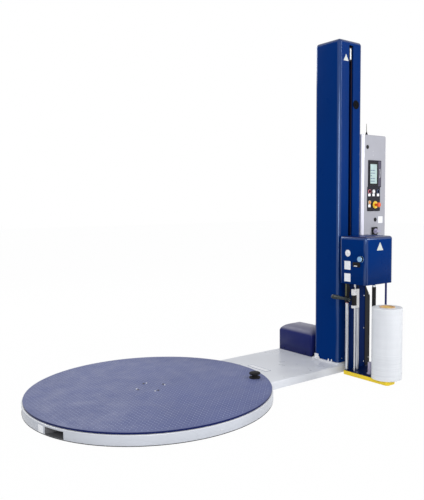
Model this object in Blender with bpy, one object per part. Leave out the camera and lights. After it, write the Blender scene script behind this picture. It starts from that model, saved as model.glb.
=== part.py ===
"""Turntable pallet wrapper: round turntable in a low ring, bridge to a slotted mast, film carriage and cabinet.

World frame in metres: the origin is the middle of the turntable on the floor, +X runs from the turntable to the
mast, -Y is the side of the mast that carries the film carriage, and +Z is up.
"""

from math import acos, atan2, cos, degrees, hypot, pi, radians, sin, sqrt

import bmesh
import bpy
from mathutils import Matrix, Vector

# ---------------------------------------------------------------------------------------------------------------
# Driving dimensions
# ---------------------------------------------------------------------------------------------------------------
GAP = 0.0003            # clearance between pieces that touch
RUN = 0.0005            # running clearance of wheels and rollers
SHEET = 0.003

# Turntable and its ring
TABLE_RADIUS = 0.825
TABLE_TOP = 0.079
TABLE_PLATE = 0.005
TABLE_SKIRT_DEPTH = 0.012
TABLE_SKIRT_WALL = 0.004
FLOOR_PLATE = 0.0037
RING_MARGIN = 0.008     # the ring stands this much outside the table
RING_DROP = 0.014       # and this much below its top
RING_WALL = 0.004
RING_LIP_WIDTH = 0.033
ROUND_STEPS = 72        # sides of the large round pieces

# Table bearing, drive wheel and support wheels
SPINDLE_RADIUS = 0.025
HUB_RADIUS = 0.060
SPROCKET_LOW = 0.030
SPROCKET_THICKNESS = 0.008
TABLE_TEETH = 36
MOTOR_TEETH = 12
TOOTH_PITCH = 0.0262
TOOTH_HEIGHT = 0.006
CHAIN_THICKNESS = 0.007
WHEEL_RADIUS = 0.025
WHEEL_WIDTH = 0.022
WHEEL_AXLE_RADIUS = 0.006
SUPPORT_WHEELS = 4
SUPPORT_MARGIN = 0.0843  # from a fork pocket's side to the middle of a support wheel
EAR_THICKNESS = 0.005

# Pockets for the forks of a pallet truck
FORK_INNER = 0.190
FORK_WIDTH = 0.150
FORK_LOW = 0.0045
FORK_ROOM = 0.0125      # from a pocket's top to the ring's top
FORK_WALL = 0.0025
FORK_END = 0.450

# Bridge between the ring and the mast
BRIDGE_WIDTH = 0.729
BRIDGE_REACH = 0.947    # from the ring to the far end
BRIDGE_TOP = 0.056
BRIDGE_WALL = 0.003
BRIDGE_ROUND = 0.006
BEAM_WIDTH = 0.040

# Mast
MAST_DISTANCE = 0.7655  # from the ring to the middle of the mast
MAST_FRONT = -0.361
MAST_SIZE = 0.260
MAST_WALL = 0.004
MAST_CORNER = 0.028
MAST_TOP = 2.562
CAP_HEIGHT = 0.043
FOOT_THICKNESS = 0.012
FOOT_MARGIN = 0.014
SLOT_WIDTH = 0.046

# Table motor under its cover
MOTOR_RADIUS = 0.062
MOTOR_OFFSET = 0.231    # behind the mast
COVER_SETBACK = 0.0095  # from the mast's side
COVER_WIDTH = 0.257
COVER_GAP = 0.041       # behind the mast
COVER_HEIGHT = 0.224
COVER_WALL = 0.003
COVER_CORNER = 0.018
COVER_SHOULDER = 0.100  # how far in, and how far down, the rounded top reaches
COVER_RISE = 0.065

# Lift drive inside the mast
PULLEY_RADIUS = 0.030
PULLEY_WIDTH = 0.026
PULLEY_OFFSET = 0.146   # behind the mast's front
PULLEY_LOW_Z = 0.130
BELT_THICKNESS = 0.0022
BELT_WIDTH = 0.024

# Trolley that rolls inside the mast
TROLLEY_LOW = 0.300
TROLLEY_HEIGHT = 0.400
TROLLEY_WALL = 0.006
TROLLEY_WHEEL_INSET = 0.040
WHEEL_ROOM = 0.0215     # between a guide wheel and the mast's rounded corner

# Film carriage in its lowest place. Distances in depth are measured forwards (-Y) from the mast's front, and places
# are measured from the carriage's side and the mast's front.
CARRIAGE_SETBACK = 0.0445
HOOD_WIDTH = 0.314
HOOD_BACK = 0.051
HOOD_FRONT = 0.309
HOOD_LOW = 0.713
HOOD_HEIGHT = 0.357
HOOD_WALL = 0.0025
HOOD_ROUND = 0.022
TRAY_WIDTH = 0.281
TRAY_BACK = 0.101
TRAY_SHOULDER = 0.374
TRAY_FRONT = 0.514
TRAY_TOP = 0.045
TRAY_THICKNESS = 0.0065
TRAY_NOSE = 0.082       # width of the tray's front edge
TRAY_CORNER = 0.022
BUMPER_LOW = 0.012
BUMPER_HEIGHT = 0.029
BUMPER_THICKNESS = 0.004
PLATE_PLACE = (0.050, -0.119)
PLATE_DEPTH = 0.020
GUARD_X = 0.220
GUARD_WIDTH = 0.055
GUARD_DROP = 0.035      # below the hood
GUARD_CUT = 0.085
GUARD_LAP = 0.012

# Film roll and rollers of the carriage
ROLL_PLACE = (0.066, -0.454)
ROLL_RADIUS = 0.1095
ROLL_HEIGHT = 0.5215
CORE_RADIUS = 0.056
CORE_BORE = 0.042
ROLLER_RADIUS = 0.012
ROLLER_1_PLACE = (0.022, -0.111)
ROLLER_1_DROP = 0.149   # below the hood
WIDE_ROLLER_RADIUS = 0.0126
ROLLER_2_PLACE = (0.0835, -0.160)
ROLLER_2_DROP = 0.188
RUBBER_ROLLER_PLACE = (0.136, -0.275)
RUBBER_ROLLER_RADIUS = 0.015
RUBBER_ROLLER_DROP = 0.023
GUIDE_ROD_PLACE = (0.036, -0.176)
GUIDE_ROD_RADIUS = 0.0065
POST_PLACE = (0.256, -0.291)
POST_RADIUS = 0.008
BRACKET_DROP = 0.0425
BRACKET_EAR = 0.045
BRACKET_SPINE = 0.027
LEVER_RISE = 0.026      # above the first roller
LEVER_LENGTH = 0.190
LEVER_TILT = 13.0       # degrees up towards its end
LEVER_GRIP_RADIUS = 0.017
KNOB_PLACE = (0.044, 0.194)  # behind the hood's front and above its lower edge
KNOB_RADIUS = 0.0215
KNOB_LENGTH = 0.025

# Control cabinet on the side of the mast. Places on the door are measured from the cabinet's lower corner.
CABINET_GAP = 0.012
CABINET_WIDTH = 0.291
CABINET_FRONT = -0.360
CABINET_DEPTH = 0.200
CABINET_LOW = 0.860
CABINET_HEIGHT = 1.001
CABINET_WALL = 0.003
CABINET_ROUND = 0.010
CABINET_EDGE = 0.024    # rounded upright beside the mast
DOOR_THICKNESS = 0.015
DOOR_ROUND = 0.014
PANEL_THICKNESS = 0.005
DISPLAY_LOW = (0.0695, 0.585)
DISPLAY_HIGH = (0.2280, 0.800)
PANEL_LOW = (0.0625, 0.392)
PANEL_HIGH = (0.2165, 0.585)
SCREEN_LOW = (0.0905, 0.6136)
SCREEN_HIGH = (0.1755, 0.769)
SCREEN_RECESS = 0.002
BUTTON_RADIUS = 0.012
BUTTON_LENGTH = 0.007
BUTTON_SEAT = 0.004     # room behind a button, more than it travels
BUTTONS = {"start": (0.0825, 0.550), "stop": (0.1340, 0.550), "reset": (0.1905, 0.550), "cycle": (0.0835, 0.462)}
STOP_PLACE = (0.1555, 0.443)
STOP_HEAD_RADIUS = 0.020
STOP_STEM_RADIUS = 0.010
STOP_REACH = 0.048
SWITCH_PLACE = (0.1515, 0.230)
SWITCH_PLATE = 0.064

# Film anchor that stands on the turntable
ANCHOR_INSET = 0.083   # from the table's edge
ANCHOR_TURN = -22.40    # degrees about +Z
ANCHOR_RADIUS = 0.040
ANCHOR_HEIGHT = 0.044

# ---------------------------------------------------------------------------------------------------------------
# Worked-out sizes
# ---------------------------------------------------------------------------------------------------------------
TABLE_UNDER = TABLE_TOP - TABLE_PLATE
RING_RADIUS = TABLE_RADIUS + RING_MARGIN
RING_TOP = TABLE_TOP - RING_DROP
FORK_HEIGHT = RING_TOP - FORK_LOW - FORK_ROOM
SPROCKET_HIGH = SPROCKET_LOW + SPROCKET_THICKNESS
SUPPORT_CIRCLE = (FORK_INNER + FORK_WIDTH + SUPPORT_MARGIN) * sqrt(2)
WHEEL_Z = TABLE_UNDER - GAP - WHEEL_RADIUS
EAR_GAP = WHEEL_WIDTH / 2 + RUN
ANCHOR_CIRCLE = TABLE_RADIUS - ANCHOR_INSET
ANCHOR_AT = (ANCHOR_CIRCLE * cos(radians(ANCHOR_TURN)), ANCHOR_CIRCLE * sin(radians(ANCHOR_TURN)))

BRIDGE_NEAR = MAST_FRONT - FOOT_MARGIN - 0.015
BRIDGE_FAR = BRIDGE_NEAR + BRIDGE_WIDTH
BRIDGE_END = RING_RADIUS + BRIDGE_REACH
BEAM_HEIGHT = BRIDGE_TOP - BRIDGE_WALL - 0.005

MAST_CENTRE_X = RING_RADIUS + MAST_DISTANCE
MAST_X = MAST_CENTRE_X - MAST_SIZE / 2
MAST_RIGHT = MAST_X + MAST_SIZE
MAST_BACK = MAST_FRONT + MAST_SIZE
MAST_LOW = BRIDGE_TOP + FOOT_THICKNESS + 2 * GAP
MAST_BODY_TOP = MAST_TOP - CAP_HEIGHT

MOTOR_X = MAST_CENTRE_X
MOTOR_Y = MAST_BACK + MOTOR_OFFSET
COVER_LOW = (MAST_X + COVER_SETBACK, MAST_BACK + COVER_GAP)
COVER_HIGH = (COVER_LOW[0] + COVER_WIDTH, BRIDGE_FAR - 0.001)
COVER_TOP = BRIDGE_TOP + COVER_HEIGHT

PULLEY_Y = MAST_FRONT + PULLEY_OFFSET
PULLEY_HIGH_Z = MAST_TOP - 0.113
TROLLEY_HIGH = TROLLEY_LOW + TROLLEY_HEIGHT
TROLLEY_HALF = MAST_SIZE / 2 - MAST_CORNER - WHEEL_ROOM - WHEEL_WIDTH - RUN
UPPER_WHEEL_Y = MAST_FRONT + MAST_WALL + WHEEL_RADIUS + RUN
LOWER_WHEEL_Y = MAST_BACK - MAST_WALL - WHEEL_RADIUS - RUN
ARM_WIDTH = SLOT_WIDTH - 0.008

CARRIAGE_X = MAST_X - CARRIAGE_SETBACK
HOOD_TOP = HOOD_LOW + HOOD_HEIGHT
SHELF_LOW = HOOD_LOW + RUN
SHELF_THICKNESS = 0.006
ROLL_LOW = TRAY_TOP + 0.0025
ROLLER_1_TOP = HOOD_LOW - ROLLER_1_DROP
ROLLER_2_TOP = HOOD_LOW - ROLLER_2_DROP
RUBBER_ROLLER_TOP = HOOD_LOW - RUBBER_ROLLER_DROP
BRACKET_LOW = ROLLER_2_TOP + 0.002
LEVER_Z = ROLLER_1_TOP + LEVER_RISE
ROLL_AT = (CARRIAGE_X + ROLL_PLACE[0], MAST_FRONT + ROLL_PLACE[1])
ROLLER_1_AT = (CARRIAGE_X + ROLLER_1_PLACE[0], MAST_FRONT + ROLLER_1_PLACE[1])
ROLLER_2_AT = (CARRIAGE_X + ROLLER_2_PLACE[0], MAST_FRONT + ROLLER_2_PLACE[1])
RUBBER_ROLLER_AT = (CARRIAGE_X + RUBBER_ROLLER_PLACE[0], MAST_FRONT + RUBBER_ROLLER_PLACE[1])
GUIDE_ROD_AT = (CARRIAGE_X + GUIDE_ROD_PLACE[0], MAST_FRONT + GUIDE_ROD_PLACE[1])
POST_AT = (CARRIAGE_X + POST_PLACE[0], MAST_FRONT + POST_PLACE[1])
PLATE_AT = (CARRIAGE_X + PLATE_PLACE[0], MAST_FRONT + PLATE_PLACE[1])
KNOB_AT = (MAST_FRONT - HOOD_FRONT + KNOB_PLACE[0], HOOD_LOW + KNOB_PLACE[1])

CABINET_X = MAST_RIGHT + CABINET_GAP
CABINET_RIGHT = CABINET_X + CABINET_WIDTH
CABINET_BACK = CABINET_FRONT + CABINET_DEPTH
CABINET_TOP = CABINET_LOW + CABINET_HEIGHT
DOOR_BACK = CABINET_FRONT + DOOR_THICKNESS
STOP_AT = (CABINET_X + STOP_PLACE[0], CABINET_LOW + STOP_PLACE[1])
SWITCH_AT = (CABINET_X + SWITCH_PLACE[0], CABINET_LOW + SWITCH_PLACE[1])


# ---------------------------------------------------------------------------------------------------------------
# Modelling helpers
# ---------------------------------------------------------------------------------------------------------------
def clear_scene():
    for old in list(bpy.data.objects):
        bpy.data.objects.remove(old, do_unlink=True)


def principled(name, colour, roughness, metallic=0.0):
    material = bpy.data.materials.new(name)
    material.use_nodes = True
    shader = material.node_tree.nodes["Principled BSDF"]
    shader.inputs["Base Color"].default_value = (*colour, 1.0)
    shader.inputs["Roughness"].default_value = roughness
    shader.inputs["Metallic"].default_value = metallic
    return material


def joint_empty(name, at, parent=None):
    """An empty on a joint's axis; the pieces of the moving body hang under it."""
    empty = bpy.data.objects.new(name, None)
    bpy.context.collection.objects.link(empty)
    empty["axis_point"] = at
    empty.parent = parent
    empty.location = Vector(at) - (Vector(parent["axis_point"]) if parent else Vector())
    return empty


def add_piece(name, bm, material, body=None, is_open=False):
    """A named object from a mesh drawn in world coordinates, with its origin on its body's joint axis."""
    if not is_open:
        bmesh.ops.recalc_face_normals(bm, faces=bm.faces)
    if body:
        bmesh.ops.translate(bm, verts=bm.verts, vec=-Vector(body["axis_point"]))
    mesh = bpy.data.meshes.new(name)
    bm.to_mesh(mesh)
    bm.free()
    if material:
        mesh.materials.append(material)
        mesh.shade_smooth()
        mesh.set_sharp_from_angle(angle=radians(32))
    piece = bpy.data.objects.new(name, mesh)
    bpy.context.collection.objects.link(piece)
    piece.parent = body
    return piece


def combine(piece, operation, bm, name):
    """Cuts or joins a mesh drawn in world coordinates, with a hidden operand."""
    operand = add_piece(name, bm, None)
    operand.hide_render = True
    operand.display_type = "WIRE"
    modifier = piece.modifiers.new(name, "BOOLEAN")
    modifier.operation = operation
    modifier.solver = "EXACT"
    modifier.object = operand
    return operand


def cut(piece, bm, name):
    return combine(piece, "DIFFERENCE", bm, name)


def weld(piece, bm, name):
    return combine(piece, "UNION", bm, name)


def on_axis(axis, a, b, h):
    """A point from two cross-section coordinates and one along the axis."""
    if axis == "X":
        return (h, a, b)
    if axis == "Y":
        return (a, h, b)
    return (a, b, h)


def prism(outline, low, high, axis="Z"):
    """A straight solid on a plain outline: (x, y) for Z, (x, z) for Y and (y, z) for X."""
    bm = bmesh.new()
    base = [bm.verts.new(on_axis(axis, a, b, low)) for a, b in outline]
    face = bm.faces.new(base)
    moved = bmesh.ops.extrude_face_region(bm, geom=[face])["geom"]
    step = Vector(on_axis(axis, 0, 0, high - low))
    bmesh.ops.translate(bm, verts=[v for v in moved if isinstance(v, bmesh.types.BMVert)], vec=step)
    return bm


def block(low, high):
    outline = [(low[0], low[1]), (high[0], low[1]), (high[0], high[1]), (low[0], high[1])]
    return prism(outline, low[2], high[2])


def band(outer, inner, low, high, axis="Z"):
    """A closed loop of material between two outlines that have the same number of points."""
    bm = bmesh.new()
    rows = []
    for outline, height in ((outer, low), (outer, high), (inner, high), (inner, low)):
        rows.append([bm.verts.new(on_axis(axis, a, b, height)) for a, b in outline])
    rows.append(rows[0])
    for row, following in zip(rows, rows[1:]):
        for i in range(len(row)):
            j = (i + 1) % len(row)
            bm.faces.new((row[i], row[j], following[j], following[i]))
    return bm


def turned_row(bm, axis, radius, height, at, steps):
    """One ring of a turned solid, or a single point on the axis for a radius of 0."""
    if radius == 0:
        return [bm.verts.new(on_axis(axis, at[0], at[1], height))]
    turns = [2 * pi * i / steps for i in range(steps)]
    return [bm.verts.new(on_axis(axis, at[0] + radius * cos(t), at[1] + radius * sin(t), height)) for t in turns]


def lathe(profile, steps, at=(0.0, 0.0), axis="Z"):
    """A turned solid. The profile is (radius, height) points; a radius of 0 closes it on the axis."""
    bm = bmesh.new()
    rings = [turned_row(bm, axis, radius, height, at, steps) for radius, height in profile]
    if len(rings[0]) > 1:
        rings.append(rings[0])
    for ring, following in zip(rings, rings[1:]):
        for i in range(steps):
            j = (i + 1) % steps
            near = [ring[i % len(ring)], ring[j % len(ring)]]
            far = [following[j % len(following)], following[i % len(following)]]
            bm.faces.new(list(dict.fromkeys(near + far)))
    return bm


def rod(radius, low, high, at, axis="Z", steps=16):
    return lathe([(0, low), (radius, low), (radius, high), (0, high)], steps, at, axis)


def tube(radius, bore, low, high, at, axis="Z", steps=24):
    return lathe([(radius, low), (radius, high), (bore, high), (bore, low)], steps, at, axis)


def arc(centre, radius, start, end, steps):
    """Points on an arc, both ends included; angles in degrees."""
    turns = [radians(start + (end - start) * i / steps) for i in range(steps + 1)]
    return [(centre[0] + radius * cos(t), centre[1] + radius * sin(t)) for t in turns]


def rounded_rectangle(low, high, radius, steps=4):
    corners = [
        ((high[0] - radius, low[1] + radius), -90),
        ((high[0] - radius, high[1] - radius), 0),
        ((low[0] + radius, high[1] - radius), 90),
        ((low[0] + radius, low[1] + radius), 180),
    ]
    points = []
    for centre, start in corners:
        points += arc(centre, radius, start, start + 90, steps)
    return points


def hood(name, low, high, radius, wall, material, open_side="-Z", body=None, steps=3):
    """A thin-walled cover with rounded edges that is open on one side: -Z (below) or -Y (in front)."""
    bm = block(low, high)
    bmesh.ops.recalc_face_normals(bm, faces=bm.faces)
    side = 2 if open_side == "-Z" else 1
    mouth = min(bm.faces, key=lambda f: f.calc_center_median()[side])
    edges = [e for e in bm.edges if mouth not in e.link_faces]
    bmesh.ops.bevel(bm, geom=edges, offset=radius, segments=steps, profile=0.5, affect="EDGES")
    mouth = min(bm.faces, key=lambda f: f.calc_center_median()[side])
    bmesh.ops.delete(bm, geom=[mouth], context="FACES_ONLY")
    return thin_shell(add_piece(name, bm, material, body, True), wall)


def thin_shell(piece, wall):
    """Gives an open surface its sheet thickness, inwards."""
    shell = piece.modifiers.new("wall", "SOLIDIFY")
    shell.thickness = wall
    shell.offset = -1
    shell.use_even_offset = True
    return piece


def soften(piece, width, segments=2):
    edge = piece.modifiers.new("soft_edges", "BEVEL")
    edge.width = width
    edge.segments = segments
    edge.limit_method = "ANGLE"
    edge.angle_limit = radians(50)
    return piece


def toothed_wheel(teeth, bore_radius, low, high, at):
    """A chain wheel with straight-sided teeth; its bore has the same number of points as its rim."""
    tip = sprocket_tip(teeth)
    root = tip - TOOTH_HEIGHT
    outer, inner = [], []
    for i in range(teeth):
        for share, radius in ((0.0, root), (0.25, root), (0.45, tip), (0.80, tip)):
            turn = 2 * pi * (i + share) / teeth
            outer.append((at[0] + radius * cos(turn), at[1] + radius * sin(turn)))
            inner.append((at[0] + bore_radius * cos(turn), at[1] + bore_radius * sin(turn)))
    if bore_radius:
        return band(outer, inner, low, high)
    return prism(outer, low, high)


def sprocket_tip(teeth):
    return teeth * TOOTH_PITCH / (2 * pi) + TOOTH_HEIGHT / 2


def loop_outline(first, first_radius, second, second_radius, steps=16):
    """The outline of a belt or chain around two round wheels: flats that stay outside both radii."""
    along = atan2(second[1] - first[1], second[0] - first[0])
    distance = hypot(second[0] - first[0], second[1] - first[1])
    contact = acos((first_radius - second_radius) / distance)
    points = []
    for centre, radius, start, sweep in (
        (first, first_radius, along + contact, 2 * pi - 2 * contact),
        (second, second_radius, along - contact, 2 * contact),
    ):
        outside = radius / cos(sweep / steps / 2)
        for i in range(steps + 1):
            turn = start + sweep * i / steps
            points.append((centre[0] + outside * cos(turn), centre[1] + outside * sin(turn)))
    return points


# ---------------------------------------------------------------------------------------------------------------
# Materials
# ---------------------------------------------------------------------------------------------------------------
def make_materials():
    return {
        "blue": principled("blue_paint", (0.004, 0.035, 0.22), 0.25),
        "table_blue": principled("table_blue_paint", (0.06, 0.09, 0.25), 0.45),
        "navy": principled("navy_plastic", (0.02, 0.015, 0.10), 0.40),
        "grey": principled("light_grey_paint", (0.60, 0.61, 0.64), 0.35),
        "steel": principled("zinc_plated_steel", (0.62, 0.63, 0.65), 0.35, 1.0),
        "dark_steel": principled("dark_steel", (0.10, 0.10, 0.11), 0.45, 1.0),
        "aluminium": principled("roller_aluminium", (0.70, 0.71, 0.73), 0.30, 1.0),
        "black": principled("black_plastic", (0.012, 0.012, 0.014), 0.45),
        "rubber": principled("black_rubber", (0.02, 0.02, 0.02), 0.75),
        "yellow": principled("yellow_paint", (0.85, 0.65, 0.05), 0.40),
        "film": principled("stretch_film", (0.80, 0.81, 0.84), 0.25),
        "card": principled("core_cardboard", (0.55, 0.40, 0.22), 0.85),
        "nylon": principled("white_nylon", (0.75, 0.75, 0.72), 0.50),
        "red": principled("red_plastic", (0.70, 0.05, 0.02), 0.35),
        "screen": principled("display_glass", (0.45, 0.55, 0.55), 0.15),
        "white": principled("white_plastic", (0.80, 0.80, 0.80), 0.40),
    }


# ---------------------------------------------------------------------------------------------------------------
# Base: floor plate, ring and fork pockets
# ---------------------------------------------------------------------------------------------------------------
def support_wheel_places():
    """(angle, x, y) of each wheel under the table."""
    places = []
    for i in range(SUPPORT_WHEELS):
        angle = 2 * pi * (i + 0.5) / SUPPORT_WHEELS
        places.append((angle, SUPPORT_CIRCLE * cos(angle), SUPPORT_CIRCLE * sin(angle)))
    return places


def turned_about_z(bm, angle, at):
    """Turns a mesh drawn around the origin about +Z and moves it to a place."""
    bmesh.ops.rotate(bm, verts=bm.verts, cent=(0, 0, 0), matrix=Matrix.Rotation(angle, 3, "Z"))
    bmesh.ops.translate(bm, verts=bm.verts, vec=at)
    return bm


def floor_plate(materials):
    """Steel floor plate with the table's spindle and the brackets of the support wheels welded on."""
    disc = rod(RING_RADIUS - 0.007, 0, FLOOR_PLATE, (0, 0), steps=ROUND_STEPS)
    plate = add_piece("floor_plate", disc, materials["dark_steel"])
    sunk = FLOOR_PLATE / 2
    boss_top = SPROCKET_LOW - 0.014
    spindle = [(0, sunk), (HUB_RADIUS + 0.02, sunk), (HUB_RADIUS + 0.02, 0.010), (SPINDLE_RADIUS + 0.012, 0.010),
               (SPINDLE_RADIUS + 0.012, boss_top), (SPINDLE_RADIUS, boss_top), (SPINDLE_RADIUS, TABLE_UNDER - 0.006),
               (0, TABLE_UNDER - 0.006)]
    weld(plate, lathe(spindle, 24), "spindle_join")
    ear_top = WHEEL_Z + WHEEL_AXLE_RADIUS + 0.005
    for i, (angle, x, y) in enumerate(support_wheel_places()):
        for side in (-1, 1):
            inner = side * EAR_GAP
            outer = side * (EAR_GAP + EAR_THICKNESS)
            ear = block((min(inner, outer), -0.014, sunk), (max(inner, outer), 0.014, ear_top))
            weld(plate, turned_about_z(ear, angle, (x, y, 0)), f"wheel_ear_{i}_{side}")
        half = EAR_GAP + EAR_THICKNESS / 2
        axle = rod(WHEEL_AXLE_RADIUS, -half, half, (0, WHEEL_Z), "X", steps=12)
        weld(plate, turned_about_z(axle, angle, (x, y, 0)), f"wheel_axle_{i}")
    return plate


def base_ring(materials):
    """Rolled ring around the table, an open C in section, with openings for the forks and for the chain."""
    low = FLOOR_PLATE + GAP
    lip = RING_RADIUS - RING_LIP_WIDTH
    inner = RING_RADIUS - RING_WALL
    outside = RING_RADIUS + 0.05
    profile = [(RING_RADIUS, low), (RING_RADIUS, RING_TOP), (lip, RING_TOP), (lip, RING_TOP - SHEET),
               (inner, RING_TOP - SHEET), (inner, low + SHEET), (lip, low + SHEET), (lip, low)]
    ring = add_piece("base_ring", lathe(profile, ROUND_STEPS), materials["grey"])
    top = FORK_LOW + FORK_HEIGHT + GAP
    for side in (-1, 1):
        near, far = fork_span(side)
        opening = block((-outside, near - GAP, low - 0.01), (-lip + 0.2, far + GAP, top))
        cut(ring, opening, f"fork_opening_{side}")
    reach = sprocket_tip(TABLE_TEETH) + CHAIN_THICKNESS + 0.02
    window = block((lip - 0.1, -reach, SPROCKET_LOW - 0.008), (outside, reach, SPROCKET_HIGH + 0.008))
    cut(ring, window, "chain_opening")
    return ring


def fork_span(side):
    """Low and high y of a fork pocket on one side of the middle."""
    low = FORK_INNER if side > 0 else -FORK_INNER - FORK_WIDTH
    return low, low + FORK_WIDTH


def fork_pocket(name, side, materials):
    """Rectangular tube that a pallet truck's fork goes into; its mouth follows the ring."""
    near, far = fork_span(side)
    top = FORK_LOW + FORK_HEIGHT
    outer = [(near, FORK_LOW), (far, FORK_LOW), (far, top), (near, top)]
    low = FORK_LOW + FORK_WALL
    high = top - FORK_WALL
    inner = [(near + FORK_WALL, low), (far - FORK_WALL, low), (far - FORK_WALL, high), (near + FORK_WALL, high)]
    tunnel = band(outer, inner, -RING_RADIUS - 0.02, FORK_END, "X")
    pocket = add_piece(name, tunnel, materials["dark_steel"])
    drum = rod(RING_RADIUS - GAP, -0.01, RING_TOP, (0, 0), steps=ROUND_STEPS)
    combine(pocket, "INTERSECT", drum, f"{name}_mouth")
    return pocket


# ---------------------------------------------------------------------------------------------------------------
# Turntable and its drive
# ---------------------------------------------------------------------------------------------------------------
def turntable(body, materials):
    low = TABLE_TOP - TABLE_SKIRT_DEPTH
    inner = TABLE_RADIUS - TABLE_SKIRT_WALL
    profile = [(0, TABLE_UNDER), (inner, TABLE_UNDER), (inner, low), (TABLE_RADIUS, low),
               (TABLE_RADIUS, TABLE_TOP - 0.0015), (TABLE_RADIUS - 0.0015, TABLE_TOP), (0, TABLE_TOP)]
    add_piece("turntable_plate", lathe(profile, ROUND_STEPS), materials["table_blue"], body)
    boss = SPROCKET_LOW - 0.012
    hub = tube(HUB_RADIUS, SPINDLE_RADIUS + GAP, boss, TABLE_UNDER - GAP, (0, 0))
    add_piece("turntable_hub", hub, materials["steel"], body)
    wheel = toothed_wheel(TABLE_TEETH, HUB_RADIUS + GAP, SPROCKET_LOW, SPROCKET_HIGH, (0, 0))
    add_piece("table_sprocket", wheel, materials["dark_steel"], body)
    low = TABLE_TOP + GAP
    top = low + ANCHOR_HEIGHT
    disc = 0.012
    neck = ANCHOR_RADIUS * 0.45
    profile = [(0, low), (ANCHOR_RADIUS, low), (ANCHOR_RADIUS, low + disc * 0.6), (neck, low + disc),
               (neck, top - disc * 1.6), (ANCHOR_RADIUS, top - disc), (ANCHOR_RADIUS * 0.96, top - disc * 0.3),
               (ANCHOR_RADIUS * 0.7, top), (0, top)]
    add_piece("film_anchor", lathe(profile, 24, ANCHOR_AT), materials["black"], body)


def support_wheel(index, angle, x, y, materials):
    body = joint_empty(f"support_wheel_{index}_axis", (x, y, WHEEL_Z))
    half = WHEEL_WIDTH / 2
    ring = tube(WHEEL_RADIUS, WHEEL_AXLE_RADIUS + GAP, -half, half, (0, WHEEL_Z), "X", steps=20)
    add_piece(f"support_wheel_{index}", turned_about_z(ring, angle, (x, y, 0)), materials["nylon"], body)


def motor_sprocket(materials):
    body = joint_empty("motor_sprocket_axis", (MOTOR_X, MOTOR_Y, SPROCKET_LOW))
    wheel = toothed_wheel(MOTOR_TEETH, 0, SPROCKET_LOW, SPROCKET_HIGH, (MOTOR_X, MOTOR_Y))
    piece = add_piece("motor_sprocket", wheel, materials["dark_steel"], body)
    shaft = rod(0.010, SPROCKET_LOW - 0.004, BRIDGE_TOP, (MOTOR_X, MOTOR_Y))
    weld(piece, shaft, "drive_shaft_join")


def drive_chain(materials):
    first = sprocket_tip(TABLE_TEETH) + 2 * GAP
    second = sprocket_tip(MOTOR_TEETH) + 2 * GAP
    at = (MOTOR_X, MOTOR_Y)
    inner = loop_outline((0, 0), first, at, second)
    outer = loop_outline((0, 0), first + CHAIN_THICKNESS, at, second + CHAIN_THICKNESS)
    add_piece("drive_chain", band(outer, inner, SPROCKET_LOW, SPROCKET_HIGH), materials["dark_steel"])


def table_gearmotor(materials):
    """Upright motor on its gearbox: turned outline with a flange, ribs and a fan cover."""
    low = BRIDGE_TOP + GAP
    radius = MOTOR_RADIUS
    profile = [(0, low), (radius + 0.018, low), (radius + 0.018, low + 0.010), (radius, low + 0.014),
               (radius, low + 0.075), (radius * 0.85, low + 0.080), (radius * 0.85, low + 0.150),
               (radius * 0.92, low + 0.154), (radius * 0.92, low + 0.180), (radius * 0.75, low + 0.186),
               (0, low + 0.186)]
    add_piece("table_gearmotor", lathe(profile, 24, (MOTOR_X, MOTOR_Y)), materials["dark_steel"])


def motor_cover(materials):
    """Pressed cover over the table motor: upright walls and a rounded top."""
    bm = bmesh.new()
    rows = []
    for i in range(7):
        turn = pi / 2 * i / 6
        rows.append((COVER_SHOULDER * (1 - cos(turn)), COVER_TOP - COVER_RISE + COVER_RISE * sin(turn)))
    rings = []
    for inset, height in [(0.0, BRIDGE_TOP + GAP)] + rows:
        low = (COVER_LOW[0] + inset, COVER_LOW[1] + inset)
        high = (COVER_HIGH[0] - inset, COVER_HIGH[1] - inset)
        rings.append([bm.verts.new((x, y, height)) for x, y in rounded_rectangle(low, high, COVER_CORNER, 3)])
    for ring, following in zip(rings, rings[1:]):
        for i in range(len(ring)):
            j = (i + 1) % len(ring)
            bm.faces.new((ring[i], ring[j], following[j], following[i]))
    bm.faces.new(rings[-1])
    thin_shell(add_piece("motor_cover", bm, materials["navy"], None, True), COVER_WALL)


# ---------------------------------------------------------------------------------------------------------------
# Bridge and mast
# ---------------------------------------------------------------------------------------------------------------
def bridge(materials):
    low = (RING_RADIUS - 0.233, BRIDGE_NEAR, 0.0)
    high = (BRIDGE_END, BRIDGE_FAR, BRIDGE_TOP)
    cover = hood("bridge_cover", low, high, BRIDGE_ROUND, BRIDGE_WALL, materials["grey"], steps=2)
    drum = rod(RING_RADIUS + GAP, -0.02, BRIDGE_TOP + 0.02, (0, 0), steps=ROUND_STEPS)
    cut(cover, drum, "ring_seat")
    cut(cover, rod(0.018, 0.0, BRIDGE_TOP + 0.02, (MOTOR_X, MOTOR_Y)), "motor_shaft_hole")
    near = BRIDGE_NEAR + BRIDGE_WALL + 0.003
    far = BRIDGE_FAR - BRIDGE_WALL - 0.003
    end = BRIDGE_END - BRIDGE_WALL - 0.003
    start = RING_RADIUS + 0.012
    middle = (MAST_FRONT + MAST_BACK) / 2
    stub = MAST_X - 0.060
    inner = end - BEAM_WIDTH
    half = BEAM_WIDTH / 2
    outline = [(start, near), (end, near), (end, far), (start, far), (start, far - BEAM_WIDTH),
               (inner, far - BEAM_WIDTH), (inner, middle + half), (stub, middle + half), (stub, middle - half),
               (inner, middle - half), (inner, near + BEAM_WIDTH), (start, near + BEAM_WIDTH)]
    add_piece("bridge_frame", prism(outline, 0.0, BEAM_HEIGHT), materials["dark_steel"])


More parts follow.
